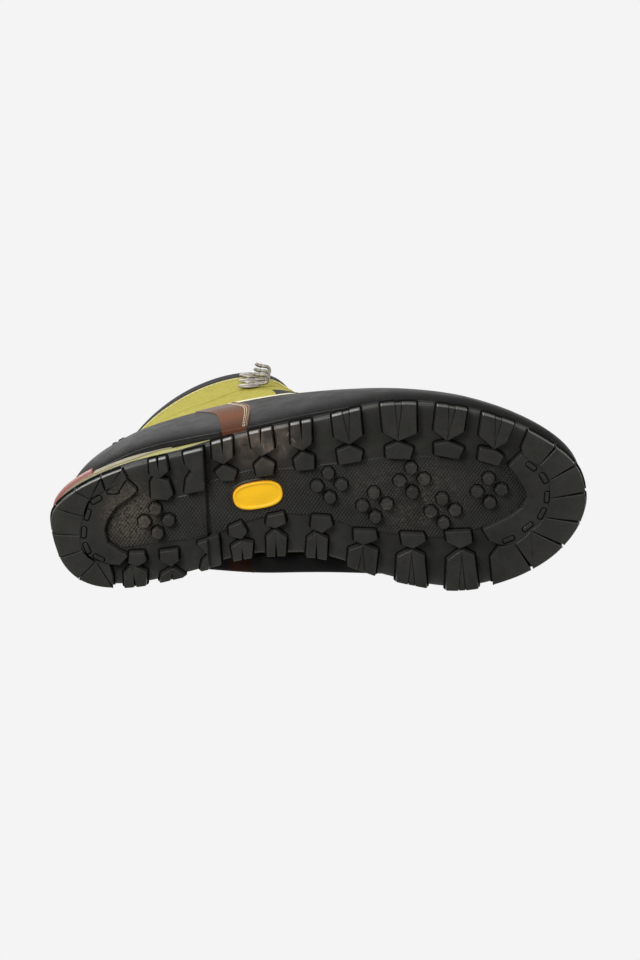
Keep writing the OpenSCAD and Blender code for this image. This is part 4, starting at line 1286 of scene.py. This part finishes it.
ob = patch("backstay_strip", "cuff", M["trim"], const(0.488), const(0.512), seam_t(FLEX_HIGH, 0.003),
    const(COLLAR - EDGE), 1.4, 1.55, 12, 40, 0.4)
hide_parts("backstay")
for k in (0.4905, 0.5095):
    v = np.linspace(0.03, 0.97, 40)
    tt = t_at(np.full(40, k), FLEX_HIGH) + 0.003 + (COLLAR - EDGE - t_at(np.full(40, k),
        FLEX_HIGH) - 0.003) * v
    p, n = on_path(np.full(40, k), tt, 1.6)
    stitches("backstay_stitches_%d" % round(k * 10000), "cuff", M["thread_dark"], p, n, 2.4, 1.8, 0.24)

# Stitched slot in the quarter above the side patch
for side, tag in ((-1, "lateral"), (1, "medial")):
    u0 = float(u_at_x(-57, 0.45, side))
    t0 = float(t_at(np.array([u0]), RAND)[0]) + 0.03
    th = np.linspace(0, 2 * np.pi, 28, endpoint=False)
    sgn = 1 if side < 0 else -1
    us, ts = u0 + sgn * 0.011 * np.cos(th), t0 + 0.006 * np.sin(th)
    p, n = on_path(us, ts, 0.08)
    c, cn = on_path(np.array([u0]), np.array([t0]), -0.3)
    v = np.concatenate([p, c])
    # the slot's sunken floor takes the near-black painted-shade material of the tread grooves
    mesh_object("slot_" + tag, v, [(i, (i + 1) % 28, 28) for i in range(28)], "boot", M["groove_painted_shade"])
    p, n = on_path(us, ts, 0.12)
    vv, ff = sweep(p, 0.32, 6, closed=True)
    mesh_object("slot_edge_" + tag, vv, ff, "boot", M["suede_edge"])
    th = np.linspace(0.5 * np.pi, 1.5 * np.pi, 24)
    p, n = on_path(u0 - sgn * 0.004 + sgn * 0.022 * -np.cos(th) * 1.0, t0 + 0.022 * np.sin(th), 0.1)
    stitches("slot_stitches_" + tag, "boot", M["thread"], p, n, 2.0, 1.5, 0.22)


# ------------------------------------------------------------------ collar, lining, tongue
def closed_pad(name, body, mat, ua, ub, ta, tb, d_in, d_out, nu, ring=22):
    """A padded band on the skin, closed all round; its cross section is a rounded cushion."""
    w = np.linspace(0, 1, nu + 1)[:, None]
    th = np.linspace(0, 2 * np.pi, ring, endpoint=False)[None, :]
    v = 0.5 + 0.5 * np.sign(np.sin(th)) * abs(np.sin(th)) ** 0.6
    s = np.sign(np.cos(th)) * abs(np.cos(th)) ** 0.75
    pinch = np.minimum(1, 60 * np.minimum(w, 1 - w)) ** 0.5
    u = ua(v) + (ub(v) - ua(v)) * (0.002 + 0.996 * w)
    t = ta + (tb - ta) * (0.5 + (v - 0.5) * (0.55 + 0.45 * pinch)) + 0 * w
    d = (d_in + d_out) / 2 + s * (d_out - d_in) / 2 * (0.35 + 0.65 * pinch)
    verts = off(u, t, d).reshape(-1, 3)
    faces = []
    for i in range(nu):
        for j in range(ring):
            a, b = i * ring + j, i * ring + (j + 1) % ring
            faces.append((a, b, b + ring, a + ring))
    faces.append(tuple(range(ring - 1, -1, -1)))
    faces.append(tuple(nu * ring + j for j in range(ring)))
    ob = mesh_object(name, verts, faces, body, mat)
    fix_normals(ob)
    return ob


def inflate(ob, pressure, cap, frames=14, size=2.6, mass=0.25):
    """Swells a closed soft piece with Blender's cloth, no point moving more than cap millimetres."""
    bpy.context.view_layer.update()
    before = np.array([v.co for v in ob.data.vertices])
    m = ob.modifiers.new("Cloth", "CLOTH")
    st = m.settings
    st.quality = 5
    st.mass = mass
    st.use_pressure = True
    st.uniform_pressure_force = pressure
    st.tension_stiffness = st.compression_stiffness = 18
    st.shear_stiffness = 8
    st.bending_stiffness = 0.6
    st.effector_weights.gravity = 0
    m.collision_settings.use_collision = False
    m.point_cache.frame_start, m.point_cache.frame_end = 1, frames
    sc = bpy.context.scene
    for f in range(1, frames + 1):
        sc.frame_set(f)
    deps = bpy.context.evaluated_depsgraph_get()
    got = ob.evaluated_get(deps).to_mesh()
    after = np.array([v.co for v in got.vertices])
    ob.evaluated_get(deps).to_mesh_clear()
    ob.modifiers.remove(m)
    sc.frame_set(1)
    d = after - before
    l = np.linalg.norm(d, axis=1, keepdims=True)
    d *= np.minimum(1, cap * MM / np.maximum(l, 1e-9))
    ob.data.vertices.foreach_set("co", (before + d).ravel())
    ob.data.update()


collar = closed_pad("collar_pad", "cuff", M["collar"], front_edge(-1, COLLAR, 1.0),
    front_edge(1, COLLAR, 1.0), COLLAR + EDGE, 0.998,
                    -4.4, 1.0, 240)
inflate(collar, 1.6, 0.7)
modify(collar, "SUBSURF", levels=1, render_levels=1)
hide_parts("collar")
# Piping between the collar and the suede
us = np.linspace(float(front_edge(-1)(1.0)), float(front_edge(1)(1.0)), 300)
p, n = on_path(us, np.full(300, COLLAR + 0.001), 0.2)
vv, ff = sweep(p, 0.55, 8)
ob = mesh_object("collar_piping", vv, ff, "cuff", M["suede_edge"])

ob = patch("cuff_lining_shell", "cuff", M["lining"], shift(front_edge(-1), 0.004),
    shift(front_edge(1), -0.004), seam_t(FLEX_HIGH, 0.003),
           const(COLLAR - EDGE), 4.3, -2.5, 200, 24, 0.6)
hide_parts("lining_cuff")
la, lb = line2(0.01, 0.02), line2(0.99, 0.98)
ob = patch("foot_lining_shell", "boot", M["lining"], la, lb, const(0.015), const(THROAT - EDGE), 2.9, -3.9,
    200, 26, 0.4)
ob2 = patch("instep_lining_shell", "boot", M["lining"], shift(gap_edge(gap_g(THROAT) + 2, THROAT,
    gap_g(0.73) + 2, 0.73, -1), 0.0),
            gap_edge(gap_g(THROAT) + 2, THROAT, gap_g(0.73) + 2, 0.73, 1), const(THROAT + EDGE),
            seam_t(FLEX_LOW, -0.004), 2.9, -3.9, 200, 20, 0.4)
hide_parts("lining_foot")


def front_dir(t):
    """The unit direction of the front line at t; past an end of the line, the direction at that end."""
    t = np.clip(np.asarray(t, float), 0, 1)
    a, b = knot(FRONT, np.maximum(0, t - 0.02)), knot(FRONT, np.minimum(1, t + 0.02))
    return (b - a) / np.linalg.norm(b - a, axis=-1, keepdims=True)


def tongue_at(t, d, y):
    """A point on the tongue: t along it, d below the front line, y across in millimetres."""
    t = np.asarray(t, float)
    k = front_dir(t)
    over = np.maximum(0, t - 1)
    tc = np.minimum(t, 1)
    base = knot(FRONT, tc)
    x = base[..., 0] - d * k[..., 1] - over * 45
    z = base[..., 1] + d * k[..., 0] + over * 200
    return np.stack([x, MID + y + 0 * x, z], -1)


def tongue_half(t):
    return np.minimum(18, gap_g(np.minimum(t, 1)) - 1.6) - 60 * np.maximum(0, t - 1.015)


def tongue_layer(name, mat, d0, d1, shrink, top, nt, nw, quilt=0.0):
    t = np.linspace(THROAT + 0.014, top, nt + 1)[:, None]
    th = np.linspace(0, 2 * np.pi, nw, endpoint=False)[None, :]
    c, s = np.cos(th), np.sin(th)
    y = np.sign(c) * abs(c) ** 0.45 * (tongue_half(t) - shrink)
    end = np.minimum(1, np.minimum(t - t[0], t[-1] - t) * 60 + 0.25)
    d = (d0 + d1) / 2 - np.sign(s) * abs(s) ** 0.6 * (d1 - d0) / 2 * end
    d = d + quilt * (s < 0) * (1 - abs(np.sin((t - THROAT) * 40)) ** 0.35) * -1.0
    pts = tongue_at(t + 0 * th, 0, y)
    k = front_dir(t)
    pts = pts + np.stack([-d * k[..., 1], 0 * d, d * k[..., 0]], -1)
    verts = pts.reshape(-1, 3)
    faces = []
    for i in range(nt):
        for j in range(nw):
            p0, p1 = i * nw + j, i * nw + (j + 1) % nw
            faces.append((p0, p1, p1 + nw, p0 + nw))
    faces += [tuple(range(nw - 1, -1, -1)), tuple(nt * nw + j for j in range(nw))]
    ob = mesh_object(name, verts, faces, "tongue", mat)
    fix_normals(ob)
    return ob


tg = tongue_layer("tongue_cover", M["tongue"], -0.5, -2.3, 0.0, 1.04, 90, 40)
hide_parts("tongue")
pad = tongue_layer("tongue_cushion", M["lining"], -2.7, -7.4, 1.8, 1.03, 90, 36, 0.9)
inflate(pad, 1.2, 0.5)
modify(pad, "SUBSURF", levels=1, render_levels=1)
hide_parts("tongue_pad")
# bound edge of the tongue
t = np.concatenate([np.linspace(THROAT + 0.03, 1.03, 60), np.linspace(1.03, THROAT + 0.03, 60)])
side = np.concatenate([np.full(60, -1.0), np.full(60, 1.0)])
p = tongue_at(t, 0, side * (tongue_half(t) - 0.9))
kk = front_dir(t)
p = p + np.stack([1.4 * kk[:, 1], 0 * t, -1.4 * kk[:, 0]], -1)
vv, ff = sweep(p, 1.05, 8)
ob = mesh_object("tongue_binding", vv, ff, "tongue", M["trim"])
# quilting lines across the tongue
for i, q in enumerate(np.linspace(THROAT + 0.09, 0.93, 5)):
    y = np.linspace(-1, 1, 40)
    tt = q + 0.012 * y * y
    h = tongue_half(tt) - 2.0
    p = tongue_at(tt, 0, y * h)
    k2 = front_dir(tt)
    nn = np.stack([-k2[:, 1], 0 * tt, k2[:, 0]], -1) * -1
    nn = np.where((nn @ np.array([1.0, 0, 1.0]))[:, None] < 0, -nn, nn)
    stitches("tongue_stitches_%d" % i, "tongue", M["thread_dark"], p - nn * 0.42, nn, 2.6, 1.9, 0.26)


# ------------------------------------------------------------------ footbed
def insole(name, body, mat, inset, heel_step, z0, height, rim_h):
    """A plate with the outline of the last, set in by inset and shorter by heel_step; its rim stands up by rim_h."""
    us = np.linspace(0, 1, 720, endpoint=False)
    q = grow(ccw(around(LAST, us)), -inset)
    q[:, 0] += heel_step * (1 - ease((q[:, 0] - 10) / 60))
    mid = np.interp(q[:, 0], [-140, -60, 0, 140], [9, 7, 2, 6])
    lat, med = q[q[:, 1] < mid], q[q[:, 1] >= mid]
    lat, med = lat[np.argsort(lat[:, 0])], med[np.argsort(med[:, 0])]
    xa, xb = q[:, 0].min() + 0.05, q[:, 0].max() - 0.05
    n, m = 120, 22
    x = xa + (xb - xa) * (1 - np.cos(np.linspace(0, np.pi, n))) / 2
    ya, yb = np.interp(x, lat[:, 0], lat[:, 1]), np.interp(x, med[:, 0], med[:, 1])
    w = (1 - np.cos(np.linspace(0, np.pi, m))) / 2
    raised = abs(2 * w - 1)[None, :] ** 5 * rim_h * (0.6 + 0.4 * (1 - ease((x + 120) / 60)))[:, None]
    rounding = 0.35 * height * np.clip(abs(2 * w - 1) * 1.02 - 0.96, 0, 1)[None, :] / 0.06
    base = stack_z(x) + z0
    top = base[:, None] + height - rim_h + raised - np.minimum(0.35 * height, rounding)
    y = ya[:, None] + (yb - ya)[:, None] * w
    up = np.stack([x[:, None] + 0 * y, y, top], -1)
    down = np.stack([x[:, None] + 0 * y, y, base[:, None] + 0.1 + 0 * y], -1)[:, ::-1]
    rows = np.concatenate([up, down], 1)
    k = 2 * m
    faces = [(i * k + j, i * k + (j + 1) % k, (i + 1) * k + (j + 1) % k, (i + 1) * k + j)
             for i in range(n - 1) for j in range(k)]
    faces += [tuple(range(k - 1, -1, -1)), tuple((n - 1) * k + j for j in range(k))]
    ob = mesh_object(name, rows.reshape(-1, 3), faces, body, mat)
    fix_normals(ob)
    return ob, x, ya, yb


ob, x, ya, yb = insole("footbed_felt_top", "footbed", M["felt"], 10.9, 6.4, FOOTBED_Z, 4.4, 1.2)
modify(ob, "SUBSURF", levels=1, render_levels=1)
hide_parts("footbed")
# Stitched line round the felt
xs = np.linspace(x[0] + 7, x[-1] - 7, 80)
for side, e in (("lateral", ya), ("medial", yb)):
    yy = np.interp(xs, x, e)
    yy = yy + np.sign(np.interp(xs, x, (ya + yb) / 2) - yy) * 6.0
    p = np.stack([xs, yy, stack_z(xs) + FOOTBED_Z + 3.3], -1)
    stitches("footbed_stitches_" + side, "footbed", M["thread_dark"], p, np.tile([0.0, 0, 1.0], (80, 1)),
        3.4, 2.4, 0.3)
ob = insole("insole_board_sheet", "boot", M["board"], 5.0, 4.0, 0.0, 2.0, 0.0)[0]
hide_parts("lasting_board")


# ------------------------------------------------------------------ hardware
def frame_at(u, t, d):
    """Place and axes on the skin: forward, up and out."""
    p, n = off(np.array(u), np.array(t), d), skin_n(np.array(u), np.array(t))
    f = np.array([-n[1], n[0], 0.0])
    f /= np.linalg.norm(f)
    if f[0] < 0:
        f = -f
    w = np.cross(n, f)
    w *= np.sign(w[2])
    return p, f, w, n


def lace_hook(place, lean):
    p, f, w, n = place
    parts = []

    def at(a, b, c):
        return p + np.outer(np.atleast_1d(a), f) + np.outer(np.atleast_1d(b),
            w) + np.outer(np.atleast_1d(c), n)
    # leaf: a long pointed oval with a rolled rim and a low dome
    th = np.linspace(0, 2 * np.pi, 36, endpoint=False)
    rings = []
    for k, h in ((1.0, 0.0), (1.02, 0.35), (1.0, 0.9), (0.9, 1.5), (0.72, 1.9), (0.45, 2.2), (0.15, 2.35)):
        a = -4.6 + 6.8 * k * np.cos(th)
        b = 3.7 * k * np.sin(th) * (1 - 0.42 * np.clip(-np.cos(th), 0,
            1) ** 1.5) * (1 - 0.25 * np.clip(np.cos(th), 0, 1) ** 3)
        rings.append(at(a, b, np.full(36, h)))
    m = len(rings)
    v = np.concatenate(rings)
    faces = [(j * 36 + i, j * 36 + (i + 1) % 36, (j + 1) * 36 + (i + 1) % 36,
        (j + 1) * 36 + i) for j in range(m - 1) for i in range(36)]
    faces += [tuple((m - 1) * 36 + i for i in range(36)), tuple(range(35, -1, -1))]
    parts.append((v, faces))
    # rivet head
    th = np.linspace(0, 2 * np.pi, 20, endpoint=False)
    rv = [at(-5.4 + r * np.cos(th), r * np.sin(th), np.full(20, h)) for r,
        h in ((1.5, 1.8), (1.45, 2.4), (1.1, 2.7), (0.5, 2.8))]
    v = np.concatenate(rv)
    faces = [(j * 20 + i, j * 20 + (i + 1) % 20, (j + 1) * 20 + (i + 1) % 20,
        (j + 1) * 20 + i) for j in range(3) for i in range(20)]
    faces.append(tuple(60 + i for i in range(20)))
    parts.append((v, faces))
    # two wires leave the leaf, join in a bow and come back over it with a curled tip
    ang = np.linspace(-0.5 * np.pi, 0.5 * np.pi, 14)
    r = 2.55
    for b0 in (-0.85, 0.85):
        a = np.concatenate([[-2.5, 0, 2.0], 4.3 + r * np.cos(ang), [3.2, 1.6]])
        c = np.concatenate([[1.2, 1.5, 1.75], 1.9 + r + r * np.sin(ang), [7.05, 7.15]])
        b = np.concatenate([[b0 * 0.6, b0, b0], b0 * (1 - 0.1 * np.sin(np.linspace(0, np.pi, 14))),
            [b0 * 0.8, b0 * 0.5]])
        parts.append(sweep(at(a, b + lean * np.maximum(0, c - 3) * 0.12, c), 1.02, 10))
    a = np.array([2.6, 1.2, 0.1, -0.9, -1.6, -1.9])
    c = np.array([7.1, 7.15, 7.25, 7.55, 8.1, 8.7])
    parts.append(sweep(at(a, 0 * a + lean * 0.5, c), np.array([1.35, 1.3, 1.2, 1.15, 1.2, 1.0]), 12))
    return merge(parts)


HOOKS = [(0.762, 0.35), (0.838, 0.35), (0.905, 0.9)]
for side, tag in ((-1, "lateral"), (1, "medial")):
    parts = []
    for i, (t, d) in enumerate(HOOKS):
        parts.append(lace_hook(frame_at(float(u_at_x(-34.5, t, side)), t, d), (-0.5, 0.4, 1.0)[i]))
    v, f = merge(parts)
    ob = mesh_object("lace_hooks_%s_wire" % tag, v, f, "cuff", M["metal"])
    fix_normals(ob)
    modify(ob, "SUBSURF", levels=1, render_levels=1)
    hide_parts("lace_hooks_" + tag)
    if side < 0:
        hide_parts("hook_rivets")

parts, plates = [], []
for side in (-1, 1):
    for t in (0.535, 0.585, 0.635, 0.685):
        u = float(u_at_gap(gap_g(t) + 7, t, side))
        p, f, w, n = frame_at(u, t, 0.25)
        ang = np.linspace(0, np.pi, 18)
        ring = p + np.outer(3.2 * np.cos(ang), w) + np.outer(0.9 + 3.2 * np.sin(ang), n)
        foot = [p + 3.2 * w + 0.2 * n, p - 3.2 * w + 0.2 * n]
        parts.append(sweep(np.concatenate([[foot[0]], ring, [foot[1]]]), 0.95, 10))
        q = np.array([(-4.3, -3.8), (4.3, -3.8), (4.3, 3.8), (-4.3, 3.8)])
        q = rounded(q, 1.4)
        rows = [p + np.outer(grow(q, g)[:, 0], w) + np.outer(grow(q, g)[:, 1], f) + h * n for g,
            h in ((0, 0), (0.05, 0.7), (-0.3, 1.05), (-1.2, 1.1))]
        k = len(q)
        v = np.concatenate(rows)
        fc = [(j * k + i, j * k + (i + 1) % k, (j + 1) * k + (i + 1) % k,
            (j + 1) * k + i) for j in range(3) for i in range(k)]
        fc.append(tuple(3 * k + i for i in range(k)))
        plates.append((v, fc))
v, f = merge(parts)
ob = mesh_object("lace_loop_rings", v, f, "boot", M["metal"])
fix_normals(ob)
v, f = merge(plates)
ob2 = mesh_object("lace_loop_plates", v, f, "boot", M["trim"])
fix_normals(ob2)
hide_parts("lace_loops")


# Pull loop: folded webbing
def loop_strip(name, body, path, width, thick, mat):
    path = np.asarray(path, float)
    d = np.gradient(path, axis=0)
    d /= np.linalg.norm(d, axis=1, keepdims=True)
    nn = np.stack([-d[:, 2], 0 * d[:, 0], d[:, 0]], 1)
    y = np.array([0, 1.0, 0])
    prof = [(-width / 2, -thick * 0.3), (-width / 2, thick * 0.3), (-width / 2 + 0.4, thick / 2),
        (width / 2 - 0.4, thick / 2),
            (width / 2, thick * 0.3), (width / 2, -thick * 0.3), (width / 2 - 0.4, -thick / 2),
            (-width / 2 + 0.4, -thick / 2)]
    rows = [path + a * y + b * nn for a, b in prof]
    m, n = len(prof), len(path)
    v = np.stack(rows, 1).reshape(-1, 3)
    f = [(i * m + j, i * m + (j + 1) % m, (i + 1) * m + (j + 1) % m,
        (i + 1) * m + j) for i in range(n - 1) for j in range(m)]
    f += [tuple(range(m - 1, -1, -1)), tuple((n - 1) * m + j for j in range(m))]
    ob = mesh_object(name, v, f, body, mat)
    fix_normals(ob)
    return ob


PX, PY, PZ = -119.2, 11.5, 137.0
ang = np.linspace(0, np.pi, 16)
r = 1.95
path = np.concatenate([[(-0.75 + 0 * z, z) for z in np.linspace(-0.6, -19.0, 20)],
    np.stack([-2.6 + 1.85 * np.cos(ang), -19.6 - 1.95 * np.sin(ang)], 1),
                       [(-4.45, z) for z in np.linspace(-19.0, -3.5, 16)],
                       [(-4.3, -2.4), (-3.7, -1.4), (-2.8, -0.75), (-1.9, -0.62)]])
path = np.stack([PX + path[:, 0], PY + 0 * path[:, 0], PZ + path[:, 1]], 1)
ob = loop_strip("pull_loop_webbing", "pull_loop", path, 10.0, 1.35, M["webbing"])
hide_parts("pull_loop")
zz = np.linspace(-0.8, 3.9, 8)
path = np.stack([PX + 0.15 + 1.9 * ease(zz / 4.5), PY + 0 * zz, PZ + zz + 0.9], 1)[1:]
ob = loop_strip("loop_anchor_patch", "cuff", path, 11.6, 3.4, M["webbing"])
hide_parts("loop_anchor")



# ------------------------------------------------------------------ what stays from the CAD
def dress(name, mat, bevel=0.0):
    ob = frame["nodes"][name]
    ob.data.materials.clear()
    ob.data.materials.append(mat)
    if bevel:
        modify(ob, "BEVEL", width=bevel * MM, segments=2, limit_method="ANGLE", angle_limit=math.radians(40))
    return ob


for name, key in {"shank": "steel", "heel_counter": "stiff", "toe_puff": "stiff"}.items():
    dress(name, M[key])


# ------------------------------------------------------------------ floor, light and camera
def floor():
    v = [(5.0 * math.cos(a), 5.0 * math.sin(a), 0) for a in np.linspace(0, 2 * math.pi, 96, endpoint=False)]
    me = bpy.data.meshes.new("floor")
    me.from_pydata(v, [], [tuple(range(96))])
    me.update()
    ob = bpy.data.objects.new("floor", me)
    bpy.context.scene.collection.objects.link(ob)
    m = bpy.data.materials.new("floor_pale")
    m.use_nodes = True
    t = m.node_tree
    b = t.nodes["Principled BSDF"]
    b.inputs["Base Color"].default_value = (0.76, 0.76, 0.755, 1)
    b.inputs["Roughness"].default_value = 0.8
    b.inputs["Specular IOR Level"].default_value = 0.3
    g = t.nodes.new("ShaderNodeNewGeometry")
    path = t.nodes.new("ShaderNodeLightPath")
    clear = t.nodes.new("ShaderNodeBsdfTransparent")
    mix = t.nodes.new("ShaderNodeMixShader")
    last = g.outputs["Backfacing"]
    for name in ("Is Shadow Ray", "Is Diffuse Ray"):
        n = t.nodes.new("ShaderNodeMath")
        n.operation = "MAXIMUM"
        t.links.new(last, n.inputs[0])
        t.links.new(path.outputs[name], n.inputs[1])
        last = n.outputs[0]
    t.links.new(last, mix.inputs[0])
    t.links.new(b.outputs[0], mix.inputs[1])
    t.links.new(clear.outputs[0], mix.inputs[2])
    t.links.new(mix.outputs[0], t.nodes["Material Output"].inputs["Surface"])
    me.materials.append(m)


def lamp(name, pos, target, size, watts, size_y=None, color=(1, 1, 1)):
    d = bpy.data.lights.new(name, "AREA")
    d.energy = watts
    d.color = color
    d.shape = "RECTANGLE"
    d.size = size
    d.size_y = size_y or size
    ob = bpy.data.objects.new(name, d)
    bpy.context.scene.collection.objects.link(ob)
    ob.location = Vector(pos)
    ob.rotation_euler = (Vector(target) - Vector(pos)).to_track_quat("-Z", "Y").to_euler()
    return ob


def studio():
    w = bpy.data.worlds.new("studio")
    bpy.context.scene.world = w
    w.use_nodes = True
    bg = w.node_tree.nodes["Background"]
    bg.inputs[0].default_value = (0.905, 0.905, 0.905, 1)
    bg.inputs[1].default_value = 1.0
    # The backdrop is even; the light it gives is softer from straight below
    t = w.node_tree
    glow = t.nodes.new("ShaderNodeBackground")
    place = t.nodes.new("ShaderNodeTexCoord")
    split = t.nodes.new("ShaderNodeSeparateXYZ")
    ramp = t.nodes.new("ShaderNodeMapRange")
    path = t.nodes.new("ShaderNodeLightPath")
    mix = t.nodes.new("ShaderNodeMixShader")
    t.links.new(place.outputs["Generated"], split.inputs[0])
    t.links.new(split.outputs[2], ramp.inputs[0])
    for i, v in enumerate((-0.95, 0.3, 0.30, 0.95)):
        ramp.inputs[1 + i].default_value = v
    t.links.new(ramp.outputs[0], glow.inputs[1])
    glow.inputs[0].default_value = (1, 1, 1, 1)
    t.links.new(path.outputs["Is Camera Ray"], mix.inputs[0])
    t.links.new(glow.outputs[0], mix.inputs[1])
    t.links.new(bg.outputs[0], mix.inputs[2])
    t.links.new(mix.outputs[0], t.nodes["World Output"].inputs[0])
    bpy.context.scene.view_settings.view_transform = "Standard"
    # The tread faces down, so its key light stands below; the others serve the views from above.
    lamp("tread_key", (-0.55, -0.75, -0.75), (0, 0, 0), 0.5, 10)
    lamp("tread_rim", (0.85, -0.45, -0.4), (0.05, 0, 0.02), 0.35, 1.8)
    lamp("side_low", (-0.2, -1.0, -0.15), (0, 0, 0.04), 0.7, 1.2, 0.4)
    lamp("top_key", (-0.5, -0.6, 0.95), (0, 0, 0.05), 0.7, 5.5)
    lamp("top_fill", (0.8, 0.7, 0.8), (0, 0, 0.06), 0.8, 3)


def camera():
    az, el, roll, dist = 0.0, math.radians(-70), math.radians(-2.02), 1400.0
    target = np.array([1.0, -13.9, 0.0])
    back = np.array([math.sin(az) * math.cos(el), -math.cos(az) * math.cos(el), math.sin(el)])
    up = np.array([0, 0, 1.0]) - back[2] * back
    up /= np.linalg.norm(up)
    right = np.cross(up, back)
    r2 = right * math.cos(roll) + up * math.sin(roll)
    u2 = -right * math.sin(roll) + up * math.cos(roll)
    pos = (target + back * dist) * MM
    d = bpy.data.cameras.new("camera")
    d.sensor_fit = "AUTO"
    d.sensor_width = 36
    d.lens = 94.69
    d.clip_start, d.clip_end = 0.01, 20
    ob = bpy.data.objects.new("camera", d)
    bpy.context.scene.collection.objects.link(ob)
    ob.matrix_world = Matrix([[r2[0], u2[0], back[0], pos[0]], [r2[1], u2[1], back[1], pos[1]],
                              [r2[2], u2[2], back[2], pos[2]], [0, 0, 0, 1]])
    bpy.context.scene.camera = ob


floor()
studio()
camera()

bpy.context.view_layer.update()
